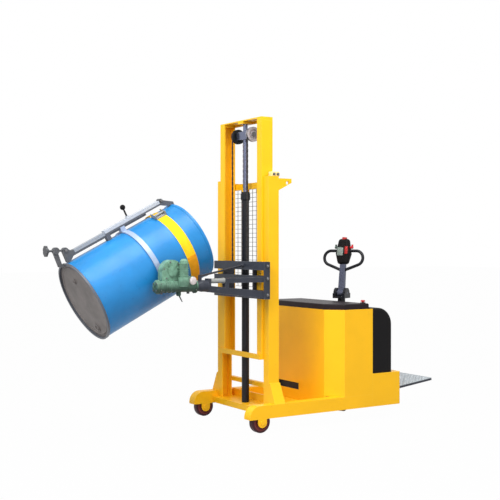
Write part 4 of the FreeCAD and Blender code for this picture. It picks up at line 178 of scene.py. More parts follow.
class NodeBench:
    """Lays out and links the shader nodes of one material or sky."""

    def __init__(self, owner: bpy.types.Material | bpy.types.World) -> None:
        """Opens an empty node tree.

        Args:
            owner: Material or sky that holds the nodes.
        """
        owner.use_nodes = True
        self.tree = owner.node_tree
        self.tree.nodes.clear()

    def feed(self, target: Socket, value: object) -> None:
        """Links an input to an output, or sets it to a plain value.

        Args:
            target: The input.
            value: Output socket, number or colour.
        """
        if isinstance(value, bpy.types.NodeSocket):
            self.tree.links.new(value, target)
        else:
            target.default_value = value

    def add(
        self, kind: str, inputs: dict[str | int, object] | None = None, **settings: object
    ) -> bpy.types.Node:
        """Adds a node, sets its properties and feeds its inputs.

        Args:
            kind: Node type after the common prefix.
            inputs: Socket or value of each input, by the input's name or number.
            settings: Properties of the node.

        Returns:
            The new node.
        """
        node = self.tree.nodes.new("ShaderNode" + kind)
        for key, value in settings.items():
            setattr(node, key, value)
        for key, value in (inputs or {}).items():
            self.feed(node.inputs[key], value)
        return node

    def maths(self, operation: str, first: object, second: object) -> Socket:
        """Works out an operation on two sockets or numbers."""
        return self.add("Math", {0: first, 1: second}, operation=operation).outputs[0]

    def dot(self, first: Socket, second: Socket | Point) -> Socket:
        """Works out a dot product."""
        return self.add("VectorMath", {0: first, 1: second}, operation="DOT_PRODUCT").outputs["Value"]

    def noise(self, place: Socket, scale: float, detail: float) -> Socket:
        """Adds noise of a number of features per metre, in a number of octaves."""
        return self.add("TexNoise", {"Vector": place, "Scale": scale, "Detail": detail}).outputs["Fac"]

    def waves(self, place: Socket, scale: float, direction: str) -> Socket:
        """Adds bands of a density along a direction."""
        settings = {"wave_type": "BANDS", "bands_direction": direction}
        return self.add("TexWave", {"Vector": place, "Scale": scale}, **settings).outputs["Fac"]

    def mapped(self, source: Socket, before: Pair, after: Pair) -> Socket:
        """Maps one range of a value to another and holds it at both ends.

        Args:
            source: The value.
            before: Range of the value.
            after: Range of the result.

        Returns:
            The result.
        """
        ends = {
            "Value": source, "From Min": before[0], "From Max": before[1], "To Min": after[0],
            "To Max": after[1],
        }
        return self.add("MapRange", ends).outputs["Result"]

    def past(self, place: Socket, plane: Plane, stretch: float) -> Socket:
        """Tells what lies past a plane, from nothing at the plane to all after a stretch."""
        ends = (plane.distance, plane.distance + stretch)
        return self.mapped(self.dot(place, plane.direction), ends, WHOLE)

    def mixed(self, share: Socket, low: Socket | Colour, high: Colour) -> Socket:
        """Mixes two colours.

        Args:
            share: Share of the second colour.
            low: First colour.
            high: Second colour.

        Returns:
            The mixed colour.
        """
        node = self.add("Mix", {"Factor": share}, data_type="RGBA")
        colours = [socket for socket in node.inputs if socket.type == "RGBA"]
        for socket, value in zip(colours, (low, high)):
            self.feed(socket, value)
        return next(socket for socket in node.outputs if socket.type == "RGBA")

    def seen_direct(self) -> Socket:
        """Tells rays from the camera, and those that gloss or glass sends on, from the light's own rays.

        Returns:
            One for the first kind, nothing for the second.
        """
        path = self.add("LightPath").outputs
        mirrored = self.maths("MAXIMUM", path["Is Glossy Ray"], path["Is Transmission Ray"])
        return self.maths("MAXIMUM", path["Is Camera Ray"], mirrored)

    def backdrop(self, lit: bpy.types.Node, seen: bpy.types.Node, share: Socket, output: str) -> None:
        """Ends the tree in one shader for the light and another for the camera.

        Args:
            lit: Shader that the light meets.
            seen: Shader that the camera sees.
            share: Share of the second shader.
            output: Output node, after the common prefix.
        """
        mix = self.add("MixShader", {0: share, 1: lit.outputs[0], 2: seen.outputs[0]})
        self.add(output, {"Surface": mix.outputs[0]})


@dataclass(frozen=True)
class Finish:
    """A surface finish that becomes one procedural material."""

    name: str
    colour: Colour
    roughness: float
    metallic: float = 0.0
    coat: float = 0.0
    shine: float = 0.22
    mottle: float = 0.05
    mottle_scale: float = 5.0
    bump: float = 0.08
    bump_scale: float = 240.0
    bump_depth: float = 0.001
    scuff: float = 0.0
    scuff_colour: Colour = (0.3, 0.3, 0.3, 1.0)
    # Painted highlight: edge is how strongly a lighter colour is laid along the edges, and the colour after
    # it is that lighter colour.
    edge: float = 0.0
    edge_highlight_colour: Colour = (0.5, 0.5, 0.5, 1.0)
    weave: Weave = Weave.GRAIN
    noise_middle: ClassVar[Pair] = (0.3, 0.7)
    mottle_detail: ClassVar[float] = 4.0
    grain_detail: ClassVar[float] = 2.0
    roughness_swing: ClassVar[float] = 0.05
    coat_roughness: ClassVar[float] = 0.12
    scuff_noise: ClassVar[Pair] = (34.0, 7.0)
    scuff_range: ClassVar[Pair] = (0.64, 0.72)
    # Rounding, range and noise of the painted edge highlight.
    edge_highlight_radius: ClassVar[float] = 0.004
    edge_highlight_samples: ClassVar[int] = 4
    edge_highlight_range: ClassVar[Pair] = (0.01, 0.12)
    edge_highlight_noise: ClassVar[Pair] = (18.0, 5.0)
    edge_highlight_break: ClassVar[Pair] = (0.35, 1.0)
    brush_stretch: ClassVar[Point] = (1.0, 1.0, 0.04)
    weave_rows: ClassVar[float] = 60.0
    weave_ribs: ClassVar[float] = 45.0

    def make(self) -> bpy.types.Material:
        """Builds the material.

        Returns:
            The node material.
        """
        material = bpy.data.materials.new(self.name)
        bench = NodeBench(material)
        places = bench.add("TexCoord")
        place = places.outputs["Object"]
        patches = bench.noise(place, self.mottle_scale, self.mottle_detail)
        shade = bench.mapped(patches, self.noise_middle, (1 - self.mottle, 1 + self.mottle))
        tint = bench.add("HueSaturation", {"Color": self.paint(bench, place), "Value": shade})
        grain = bench.noise(place, self.bump_scale, self.grain_detail)
        swing = (self.roughness - self.roughness_swing, self.roughness + self.roughness_swing)
        height = self.relief(bench, places, grain)
        relief = bench.add("Bump", {"Strength": self.bump, "Distance": self.bump_depth, "Height": height})
        shader = bench.add("BsdfPrincipled", {
            "Base Color": self.scuffed_and_edge_lit(bench, place, tint.outputs["Color"]),
            "Roughness": bench.mapped(grain, self.noise_middle, swing),
            "Metallic": self.metallic,
            "Specular IOR Level": self.shine,
            "Coat Weight": self.coat,
            "Coat Roughness": self.coat_roughness,
            "Normal": relief.outputs["Normal"],
        })
        bench.add("OutputMaterial", {"Surface": shader.outputs["BSDF"]})
        return material

    def paint(self, bench: NodeBench, place: Socket) -> Socket | Colour:
        """Gives the base colour: one colour all over, unless a finish parts it by place."""
        return self.colour

    def scuffed_and_edge_lit(self, bench: NodeBench, place: Socket, colour: Socket) -> Socket:
        """Rubs small scuffs into the colour and paints a highlight along the edges.

        Args:
            bench: Node bench of the material.
            place: Object coordinate.
            colour: Colour before the scuffs and the painted edge highlight.

        Returns:
            The worn colour.
        """
        if self.scuff:
            specks = bench.noise(place, *self.scuff_noise)
            share = bench.mapped(specks, self.scuff_range, (0.0, self.scuff))
            colour = bench.mixed(share, colour, self.scuff_colour)
        # Painted highlight: the edges are lightened as if light caught them.
        if self.edge:
            colour = bench.mixed(self.edge_highlight_share(bench, place), colour, self.edge_highlight_colour)
        return colour

    def edge_highlight_share(self, bench: NodeBench, place: Socket) -> Socket:
        """Finds the edges for the painted highlight, broken up by noise.

        Args:
            bench: Node bench of the material.
            place: Object coordinate.

        Returns:
            Share of the painted highlight's colour.
        """
        rounded = bench.add("Bevel", {"Radius": self.edge_highlight_radius}, samples=self.edge_highlight_samples)
        facing = bench.dot(rounded.outputs["Normal"], bench.add("NewGeometry").outputs["Normal"])
        bend = bench.mapped(bench.maths("SUBTRACT", 1.0, facing), self.edge_highlight_range, (0.0, self.edge))
        breaks = bench.mapped(bench.noise(place, *self.edge_highlight_noise), self.noise_middle, self.edge_highlight_break)
        return bench.maths("MULTIPLY", bend, breaks)

    def relief(self, bench: NodeBench, places: bpy.types.Node, grain: Socket) -> Socket:
        """Chooses the height pattern of the bump.

        Args:
            bench: Node bench of the material.
            places: Texture coordinates.
            grain: Fine noise shared with the roughness.

        Returns:
            Height value.
        """
        if self.weave is Weave.BRUSHED:
            drawn = bench.add("Mapping", {"Vector": places.outputs["Object"], "Scale": self.brush_stretch})
            return bench.noise(drawn.outputs["Vector"], self.bump_scale, self.grain_detail)
        if self.weave is Weave.WEBBING:
            rows = bench.waves(places.outputs["UV"], self.weave_rows, "X")
            ribs = bench.waves(places.outputs["UV"], self.weave_ribs, "Y")
            return bench.maths("MULTIPLY", rows, ribs)
        return grain


@dataclass(frozen=True)
class WheelFinish(Finish):
    """A tyre finish with another colour inside a radius about an axle along Y."""

    core: Colour = (0.3, 0.1, 0.1, 1.0)
    core_radius: float = 0.06
    axle: Point = (0.0, 0.0, 0.0)

    def paint(self, bench: NodeBench, place: Socket) -> Socket | Colour:
        """Parts the hub's colour from the tyre's.

        Args:
            bench: Node bench of the material.
            place: Object coordinate.

        Returns:
            The colour.
        """
        split = bench.add("SeparateXYZ", {0: place})
        squares = []
        for axis, middle in (("X", self.axle[0]), ("Z", self.axle[2])):
            away = bench.maths("SUBTRACT", split.outputs[axis], middle)
            squares.append(bench.maths("MULTIPLY", away, away))
        outside = bench.maths("GREATER_THAN", bench.maths("ADD", *squares), self.core_radius**2)
        return bench.mixed(outside, self.core, self.colour)


@dataclass(frozen=True)
class EndedFinish(Finish):
    """A finish that changes colour past a plane, at once or over a stretch: at the rim of a drum and on a
    throttle's red half, and as painted shade on the gearbox's lower half, the clamp bar's hook, the slider's
    bracket and the far sheave.
    """

    end_colour: Colour = (0.1, 0.1, 0.1, 1.0)
    end: Plane = Plane((0.0, 0.0, 1.0), 1.0)
    end_stretch: float = 0.0002

    def paint(self, bench: NodeBench, place: Socket) -> Socket | Colour:
        """Parts the colour past the plane from the rest; on some finishes one side is painted shade."""
        return bench.mixed(bench.past(place, self.end, self.end_stretch), self.colour, self.end_colour)


@dataclass(frozen=True)
class BarFinish(EndedFinish):
    """An ended finish with painted shade on its underside past a second plane."""

    # Painted shade on the underside: its colour, its plane and its blend.
    underside_shade_colour: Colour = (0.1, 0.1, 0.1, 1.0)
    under: Plane = Plane((0.0, 0.0, -1.0), 0.0)
    underside_shade_stretch: ClassVar[float] = 0.004

    def paint(self, bench: NodeBench, place: Socket) -> Socket | Colour:
        """Paints shade on the underside of the ended finish."""
        share = bench.past(place, self.under, self.underside_shade_stretch)
        return bench.mixed(share, super().paint(bench, place), self.underside_shade_colour)


DRUM_FRAME = TurnedFrame(
    pivot=tuple(JOINTS["drum_tilt"]["pos_m"]), turn=about("Y", -JOINTS["drum_tilt"]["range_deg"][0]),
    middle=(-0.0326, 0.0, 0.062)
)
STEP_FRAME = TurnedFrame(
    pivot=tuple(JOINTS["step_fold"]["pos_m"]), turn=about("Y", -JOINTS["step_fold"]["range_deg"][0])
)
STEER_ANGLE = -sum(JOINTS["steering_turn"]["range_deg"]) / 2
TILLER_FRAME = TurnedFrame(
    pivot=tuple(JOINTS["tiller_swing"]["pos_m"]),
    turn=about("Z", STEER_ANGLE) @ about("Y", -JOINTS["tiller_swing"]["range_deg"][1])
)
# Height below which the gearbox's green is painted shade.
GEARBOX_SHADE_LINE = Plane(tuple(UP), 1.03)
SHEAVE_SHADE_PARTING = Plane(tuple(LEFT), 0.0)
# Planes of painted shade: the clamp bar's hook end and underside, and the slider's bracket and underside.
BAR_HOOK_SHADE_PLANE = DRUM_FRAME.plane(UP, (0.0, 0.0, -0.366))
BAR_UNDERSIDE_SHADE_PLANE = DRUM_FRAME.plane(AHEAD, (-0.342, 0.0, 0.0))
SLIDER_BRACKET_SHADE_PLANE = DRUM_FRAME.plane(UP, (0.0, 0.0, 0.356))
SLIDER_UNDERSIDE_SHADE_PLANE = DRUM_FRAME.plane(AHEAD, (-0.331, 0.0, 0.0))
DRUM_CHIME = DRUM_FRAME.plane(UP, (0.0, 0.0, 0.441))
THROTTLE_PARTING = TILLER_FRAME.plane(LEFT, (0.0, 0.03, 0.368))
TREAD_FACE = STEP_FRAME.plane(UP, (0.0, 0.0, 0.0075))

# The edge strength and edge colour of each finish below paint a lighter highlight along its edges.
YELLOW = Finish(
    "yellow_paint", srgb(252, 191, 24), 0.4, coat=0.06, mottle=0.035, scuff=0.14,
    scuff_colour=srgb(206, 146, 34), edge=0.35, edge_highlight_colour=srgb(255, 218, 96)
)
DARK = Finish(
    "dark_paint", srgb(52, 55, 64), 0.42, mottle=0.16, mottle_scale=9.0, scuff=0.4,
    scuff_colour=srgb(92, 94, 98), edge=0.6, edge_highlight_colour=srgb(128, 130, 134)
)
# Gearbox: the green below the line at 1.03 m is painted shade, darker than the lit green above, and blends
# into it over 0.08 m.
GREEN = EndedFinish(
    "gearbox_paint", srgb(52, 74, 64), 0.42, mottle=0.34, mottle_scale=30.0, bump=0.5, bump_scale=70.0,
    scuff=0.6, scuff_colour=srgb(44, 62, 54), edge=0.35, edge_highlight_colour=srgb(150, 178, 152),
    end_colour=srgb(112, 152, 130), end=GEARBOX_SHADE_LINE, end_stretch=0.08
)
# Clamp bar: the hook end short of its plane and the underside are painted shade in dark grey; the rest is
# pale steel.
BAR_STEEL = BarFinish(
    "bar_steel", srgb(84, 86, 90), 0.46, metallic=0.25, mottle=0.06, mottle_scale=14.0, edge=0.3,
    edge_highlight_colour=srgb(206, 210, 216), end_colour=srgb(184, 189, 197), end=BAR_HOOK_SHADE_PLANE,
    underside_shade_colour=srgb(92, 95, 102), under=BAR_UNDERSIDE_SHADE_PLANE
)
HOOP_STEEL = Finish("hoop_steel", srgb(158, 174, 200), 0.4, metallic=0.25, mottle=0.06, mottle_scale=14.0)
# Slider: the bracket past its plane and the underside are painted shade in dark grey; the rest is pale steel
# with scuffs.
SLIDER_STEEL = BarFinish(
    "slider_steel", srgb(152, 157, 164), 0.46, metallic=0.3, mottle=0.08, mottle_scale=14.0, scuff=0.3,
    scuff_colour=srgb(96, 98, 102), end_colour=srgb(88, 90, 94), end=SLIDER_BRACKET_SHADE_PLANE,
    underside_shade_colour=srgb(84, 87, 92), under=SLIDER_UNDERSIDE_SHADE_PLANE
)
CLAMP_IRON = Finish(
    "clamp_iron", srgb(84, 85, 88), 0.5, metallic=0.2, mottle=0.14, mottle_scale=24.0, bump=0.3,
    bump_scale=120.0, edge=0.4, edge_highlight_colour=srgb(150, 150, 152)
)
SLEEVE_STEEL = Finish(
    "sleeve_steel", srgb(150, 152, 150), 0.44, metallic=0.3, mottle=0.1, mottle_scale=30.0,
    weave=Weave.BRUSHED
)
GUARD_WIRE = Finish("guard_wire", srgb(120, 122, 122), 0.5, metallic=0.2, mottle=0.06)
BLACK_PLASTIC = Finish(
    "black_plastic", srgb(24, 23, 24), 0.46, shine=0.08, mottle=0.1, bump=0.25, bump_scale=900.0
)
LID_PLASTIC = Finish(
    "lid_plastic", srgb(36, 29, 32), 0.42, shine=0.12, mottle=0.12, bump=0.25, bump_scale=900.0
)
BLACK_PAINT = Finish(
    "black_paint", srgb(27, 28, 33), 0.34, coat=0.05, shine=0.2, scuff=0.2, scuff_colour=srgb(58, 58, 62),
    edge=0.3, edge_highlight_colour=srgb(84, 86, 90)
)
TILLER_GREY = Finish(
    "tiller_grey", srgb(84, 88, 106), 0.38, metallic=0.3, mottle=0.08, edge=0.4,
    edge_highlight_colour=srgb(140, 144, 156)
)
ROD_STEEL = Finish("rod_steel", srgb(112, 117, 140), 0.2, metallic=0.85, mottle=0.04, weave=Weave.BRUSHED)
STEEL = Finish("bare_steel", srgb(120, 120, 122), 0.38, metallic=0.9, mottle=0.15, mottle_scale=40.0)
PALE_STEEL = Finish("pale_steel", srgb(208, 198, 198), 0.36, metallic=0.3, mottle=0.06, mottle_scale=30.0)
# Sheaves: the far one, at negative Y, is painted shade in near black; the near one is pale steel.
SHEAVE_PAIR = EndedFinish(
    "sheave_pair", srgb(34, 36, 38), 0.4, metallic=0.3, mottle=0.1, mottle_scale=30.0,
    end_colour=srgb(184, 180, 184), end=SHEAVE_SHADE_PARTING
)
CHAIN = Finish("chain_steel", srgb(76, 74, 74), 0.45, metallic=0.7, mottle=0.2, mottle_scale=60.0)
BLUE = EndedFinish(
    "drum_blue", srgb(24, 122, 186), 0.42, coat=0.06, shine=0.4, mottle=0.14, mottle_scale=4.0, bump=0.5,
    bump_scale=9.0, bump_depth=0.006, scuff=0.3, scuff_colour=srgb(24, 88, 160),
    end_colour=srgb(84, 88, 96), end=DRUM_CHIME
)
DRUM_GREY = Finish(
    "drum_grey", srgb(120, 114, 112), 0.5, mottle=0.2, mottle_scale=7.0, scuff=0.5,
    scuff_colour=srgb(92, 96, 106), bump=0.2, bump_scale=30.0
)
WEBBING = Finish(
    "webbing", srgb(250, 200, 28), 0.8, mottle=0.06, mottle_scale=30.0, bump=0.5, weave=Weave.WEBBING
)
ORANGE_WEBBING = Finish(
    "orange_webbing", srgb(236, 160, 26), 0.8, mottle=0.08, mottle_scale=30.0, bump=0.5,
    weave=Weave.WEBBING
)
RED = Finish("red_plastic", srgb(176, 40, 38), 0.36, coat=0.2)
THROTTLE_PAIR = EndedFinish(
    "throttle_pair", srgb(78, 92, 86), 0.42, end_colour=srgb(196, 30, 40), end=THROTTLE_PARTING
)
NYLON = Finish("nylon_block", srgb(238, 216, 150), 0.5, mottle=0.05, bump=0.15, bump_scale=400.0)
COVER_GREY = Finish("cover_grey", srgb(134, 146, 140), 0.4, mottle=0.08, bump=0.2, bump_scale=900.0)
BATTERY = Finish("battery_case", srgb(58, 58, 62), 0.6, edge=0.3, edge_highlight_colour=srgb(92, 92, 96))
IRON = Finish("iron_casting", srgb(66, 66, 68), 0.7, bump=0.5, bump_scale=120.0)
TREAD = EndedFinish(
    "tread_plate", srgb(64, 66, 74), 0.42, metallic=0.3, mottle=0.1, mottle_scale=20.0,
    end_colour=srgb(170, 178, 184), end=TREAD_FACE, end_stretch=0.001
)
TREAD_STUD = Finish(
    "tread_studs", srgb(206, 212, 216), 0.34, metallic=0.35, mottle=0.06, mottle_scale=40.0
)
LOAD_TYRE = WheelFinish(
    "load_tyre", srgb(62, 27, 32), 0.46, mottle=0.14, core=srgb(112, 52, 50), core_radius=0.0597,
    axle=(0.0, 0.0, 0.075)
)
DRIVE_TYRE = Finish("drive_tyre", srgb(44, 24, 26), 0.55)


class Paintbox:
    """Makes each finish once and lays it on CAD nodes or new pieces."""

    def __init__(self) -> None:
        """Starts with no material made."""
        self.made: dict[str, bpy.types.Material] = {}

    def material(self, finish: Finish) -> bpy.types.Material:
        """Returns the material of a finish, made at its first use.

        Args:
            finish: The finish.

        Returns:
            Its material.
        """
        if finish.name not in self.made:
            self.made[finish.name] = finish.make()
        return self.made[finish.name]

    def coat(self, thing: Thing, finish: Finish) -> None:
        """Gives an object one finish and no other."""
        thing.data.materials.clear()
        thing.data.materials.append(self.material(finish))

    def coat_nodes(self, finishes: dict[str, Finish]) -> None:
        """Gives CAD nodes their finishes.

        Args:
            finishes: Finish by node name.
        """
        for name, finish in finishes.items():
            self.coat(frame["nodes"][name], finish)
            LOG.info("coated %s with %s", name, finish.name)


@dataclass(frozen=True)
class Tag:
    """Name, finish and CAD body of a new piece; a piece without a body is left loose in the scene."""

    name: str
    finish: Finish
    body: str | None = None


@dataclass(frozen=True)
class BoltStage:
    """One stage of a bolt, in shares of the head's corner radius and of its width."""

    sides: int
    low_radius: float
    high_radius: float
    low: float
    high: float


@dataclass
class Forge:
    """Makes small meshes in the part's frame and lets them ride on a body."""

    paints: Paintbox
    sharp_angle: float = math.radians(40)
    spun_sides: int = 36
    bevel_steps: int = 3
    bolt_stages: tuple[BoltStage, ...] = (
        BoltStage(sides=24, low_radius=1.15, high_radius=1.15, low=0.0, high=0.14),
        BoltStage(sides=6, low_radius=1.0, high_radius=1.0, low=0.14, high=0.66),
        BoltStage(sides=6, low_radius=1.0, high_radius=0.84, low=0.66, high=0.76),
    )

    def piece(self, tag: Tag, mesh: Mesh) -> Thing:
        """Turns a built mesh into a finished object, smooth but for its sharp edges.

        Args:
            tag: Name, finish and body.
            mesh: The built mesh, freed here.

        Returns:
            The new object.
        """
        data = settled(tag.name, mesh)
        for face in data.polygons:
            face.use_smooth = True
        data.set_sharp_from_angle(angle=self.sharp_angle)
        thing = placed(tag.name, data)
        self.paints.coat(thing, tag.finish)
        if tag.body is not None:
            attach(thing, tag.body)
        LOG.info("made %s", tag.name)
        return thing

    @staticmethod
    def turned(at: Vector, direction: Vector) -> Matrix:
        """Gives the matrix that lays a piece made along Z at a point along a direction."""
        return Matrix.Translation(at) @ direction.to_track_quat("Z", "Y").to_matrix().to_4x4()

    @staticmethod
    def circle(middle: Vector, across: Vector, radius: float, count: int, first: float) -> list[Vector]:
        """Spaces points evenly round an upright circle.

        Args:
            middle: Middle of the circle.
            across: Level direction in its plane.
            radius: Its radius.
            count: Number of points.
            first: Angle of the first point in degrees.

        Returns:
            The points.
        """
        turns = [math.radians(first + 360 / count * k) for k in range(count)]
        return [middle + (across * math.cos(turn) + UP * math.sin(turn)) * radius for turn in turns]

    @classmethod
    def cone(cls, mesh: Mesh, sides: int, radii: Pair, middle: Vector, run: Vector, depth: float) -> None:
        """Adds a capped cone or rod.

        Args:
            mesh: Mesh that it joins.
            sides: Number of its sides.
            radii: Radius at its foot and at its head.
            middle: Middle of its length.
            run: Direction from foot to head.
            depth: Its length.
        """
        bmesh.ops.create_cone(
            mesh, cap_ends=True, segments=sides, radius1=radii[0], radius2=radii[1], depth=depth,
            matrix=cls.turned(middle, run)
        )

    @staticmethod
    def skin(mesh: Mesh, rings: list[list[Vector]]) -> None:
        """Joins rings of points into a capped solid.

        Args:
            mesh: Mesh that it joins.
            rings: Rings from the foot up.
        """
        rows = [[mesh.verts.new(point) for point in ring] for ring in rings]
        for low, high in zip(rows, rows[1:]):
            for corners in zip(low, low[1:] + low[:1], high[1:] + high[:1], high):
                mesh.faces.new(corners)
        mesh.faces.new(list(reversed(rows[0])))
        mesh.faces.new(rows[-1])

    def rods(self, tag: Tag, ends: list[Seat], radius: float, sides: int) -> Thing:
        """Makes several capped rods as one object.

        Args:
            tag: Name, finish and body.
            ends: Start and end of each rod.
            radius: Radius of all rods.
            sides: Number of sides of each.

        Returns:
            The object.
        """
        mesh = bmesh.new()
        for start, end in ends:
            run = end - start
            self.cone(mesh, sides, (radius, radius), (end + start) / 2, run, run.length)
        return self.piece(tag, mesh)

    def slabs(
        self, tag: Tag, slabs: list[tuple[Point, Point]], bevel: float, lie: Matrix = AS_BUILT
    ) -> Thing:
        """Makes several blocks with rounded edges, given by opposite corners, as one object.

        Args:
            tag: Name, finish and body.
            slabs: Low and high corner of each block.
            bevel: Width of the edge rounding.
            lie: Frame that the corners are given in.

        Returns:
            The object.
        """
        mesh = bmesh.new()
        for low, high in slabs:
            size = Vector(high) - Vector(low)
            place = Matrix.Translation((Vector(high) + Vector(low)) / 2) @ Matrix.Diagonal((*size, 1.0))
            bmesh.ops.create_cube(mesh, size=1.0, matrix=place)
        bmesh.ops.bevel(
            mesh, geom=list(mesh.edges), offset=bevel, segments=self.bevel_steps, affect="EDGES", profile=0.5
        )
        bmesh.ops.transform(mesh, matrix=lie, verts=list(mesh.verts))
        return self.piece(tag, mesh)

    def spun(self, tag: Tag, profile: tuple[Pair, ...], seats: list[Seat]) -> Thing:
        """Turns one profile about its axis at each seat, as one object.

        Args:
            tag: Name, finish and body.
            profile: Radius and height of each ring, from the foot up.
            seats: Foot of each turned form and the direction that it faces.

        Returns:
            The object.
        """
        mesh = bmesh.new()
        turns = [2 * math.pi * k / self.spun_sides for k in range(self.spun_sides)]
        for foot, facing in seats:
            lie = self.turned(foot, facing)
            rings = []
            for radius, height in profile:
                flat = [(radius * math.cos(turn), radius * math.sin(turn)) for turn in turns]
                rings.append([lie @ Vector((x, y, height)) for x, y in flat])
            self.skin(mesh, rings)
        return self.piece(tag, mesh)

    def bolts(self, tag: Tag, width: float, seats: list[Seat]) -> Thing:
        """Makes hexagon bolt heads on washers as one object.

        Args:
            tag: Name, finish and body.
            width: Width of a head across its flats.
            seats: Foot of each washer and the direction that its head faces.

        Returns:
            The object.
        """
        mesh = bmesh.new()
        corner = width / math.sqrt(3)
        for foot, facing in seats:
            for stage in self.bolt_stages:
                low = width * stage.low
                high = width * stage.high
                radii = (corner * stage.low_radius, corner * stage.high_radius)
                middle = foot + facing.normalized() * (low + high) / 2
                self.cone(mesh, stage.sides, radii, middle, facing, high - low)
        return self.piece(tag, mesh)

    @staticmethod
    def lengths(points: list[Vector]) -> list[float]:
        """Measures along a closed run of points.

        Args:
            points: The points in order.

        Returns:
            Length from the first point to each, and back to the first.
        """
        stops = [0.0]
        for before, after in zip(points, points[1:] + points[:1]):
            stops.append(stops[-1] + (after - before).length)
        return stops

    def ribbon(self, tag: Tag, rings: list[list[Vector]], closed: bool) -> Thing:
        """Skins a row of rings into a solid band with a flat map along it.

        Args:
            tag: Name, finish and body.
            rings: Cross-sections in order, each a ring of points.
            closed: Whether the last ring meets the first.

        Returns:
            The object.
        """
        mesh = bmesh.new()
        layer = mesh.loops.layers.uv.new("flat")
        rows = [[mesh.verts.new(point) for point in ring] for ring in rings]
        count = len(rows[0])
        stops = self.lengths([ring[0] for ring in rings])
        width = self.lengths(rings[0])
        for row in range(len(rows) if closed else len(rows) - 1):
            near = rows[row]
            far = rows[(row + 1) % len(rows)]
            for k in range(count):
                beside = (k + 1) % count
                face = mesh.faces.new((near[k], near[beside], far[beside], far[k]))
                flat = ((row, k), (row, k + 1), (row + 1, k + 1), (row + 1, k))
                for loop, (along, across) in zip(face.loops, flat):
                    loop[layer].uv = (stops[along], width[across])
        if not closed:
            mesh.faces.new(rows[0])
            mesh.faces.new(list(reversed(rows[-1])))
        bmesh.ops.recalc_face_normals(mesh, faces=list(mesh.faces))
        return self.piece(tag, mesh)


@dataclass
class Assembly:
    """A sub-assembly: the finishes of its CAD nodes and the small fittings on them."""

    finishes: dict[str, Finish] = field(default_factory=dict)

    def dress(self, forge: Forge) -> None:
        """Coats the CAD nodes and adds the fittings."""
        forge.paints.coat_nodes(self.finishes)
        self.build(forge)

    def build(self, forge: Forge) -> None:
        """Adds the fittings; each sub-assembly has its own."""


@dataclass
class Chassis(Assembly):
    """Legs, fixed mast, body panels, battery and wheels."""

    finishes: dict[str, Finish] = field(
        default_factory=lambda: {
            "leg_left": YELLOW, "leg_right": YELLOW, "chassis_deck": YELLOW, "outer_mast_left": YELLOW,
            "outer_mast_right": YELLOW, "outer_cross_bars": YELLOW, "mast_guard": GUARD_WIRE,
            "lift_cylinder": BLACK_PAINT, "cylinder_gland": BLACK_PAINT, "body_shell": YELLOW,
            "battery_pack": BATTERY, "counterweight": IRON, "power_unit": BLACK_PAINT, "rear_base": YELLOW,
            "rear_cover": BLACK_PLASTIC, "load_axles": YELLOW, "load_wheel_left": LOAD_TYRE,
            "load_wheel_right": LOAD_TYRE, "battery_lid": LID_PLASTIC, "stop_button": RED,
        }
    )
    battery_top: float = 0.640
    cell_pitch: float = 0.100
    cell_count: int = 6
    cap_line: float = -0.760
    cap_profile: tuple[Pair, ...] = ((0.021, 0.0), (0.021, 0.008), (0.017, 0.012), (0.006, 0.013))
    post_lines: Pair = (-0.700, -0.820)
    post_profile: tuple[Pair, ...] = (
        (0.013, 0.0), (0.013, 0.010), (0.009, 0.011), (0.009, 0.019), (0.006, 0.020),
    )
    link_half_width: float = 0.014
    link_overlap: float = 0.012
    link_lift: float = 0.0105
    link_thickness: float = 0.005
    link_bevel: float = 0.0015
    stop_low: Point = (-0.206, 0.304, 1.8252)
    stop_high: Point = (-0.140, 0.352, 1.8600)
    stop_bevel: float = 0.004
    stop_bolt_width: float = 0.015
    stop_bolt_shares: Pair = (0.25, 0.75)

    def build(self, forge: Forge) -> None:
        """Fits the battery's top and the stops on the mast."""
        self.battery(forge)
        self.mast_stops(forge)

    def battery(self, forge: Forge) -> None:
        """Sets vent caps, posts and links on the cells under the lid.

        Args:
            forge: Maker of pieces.
        """
        first = -self.cell_pitch * (self.cell_count - 1) / 2
        rows = [first + self.cell_pitch * k for k in range(self.cell_count)]
        caps = [(Vector((self.cap_line, y, self.battery_top)), UP) for y in rows]
        forge.spun(Tag("cell_caps", COVER_GREY, "chassis"), self.cap_profile, caps)
        posts = [(Vector((x, y, self.battery_top)), UP) for y in rows for x in self.post_lines]
        forge.spun(Tag("cell_posts", STEEL, "chassis"), self.post_profile, posts)
        links = []
        foot = self.battery_top + self.link_lift
        top = foot + self.link_thickness
        for k, (low, high) in enumerate(zip(rows, rows[1:])):
            x = self.post_lines[k % 2]
            corner = (x - self.link_half_width, low - self.link_overlap, foot)
            links.append((corner, (x + self.link_half_width, high + self.link_overlap, top)))
        forge.slabs(Tag("cell_links", PALE_STEEL, "chassis"), links, self.link_bevel)

    def mast_stops(self, forge: Forge) -> None:
        """Bolts a pale stop block on the top of each fixed channel.

        Args:
            forge: Maker of pieces.
        """
        (x0, y0, z0), (x1, y1, z1) = self.stop_low, self.stop_high
        blocks = []
        bolts = []
        for side in BOTH_SIDES:
            low, high = sorted((side * y0, side * y1))
            blocks.append(((x0, low, z0), (x1, high, z1)))
            for share in self.stop_bolt_shares:
                spot = Vector((x0 + (x1 - x0) * share, side * y1, (z0 + z1) / 2))
                bolts.append((spot, Vector((0.0, side, 0.0))))
        forge.slabs(Tag("mast_stop_blocks", NYLON, "chassis"), blocks, self.stop_bevel)
        forge.bolts(Tag("mast_stop_bolts", STEEL, "chassis"), self.stop_bolt_width, bolts)


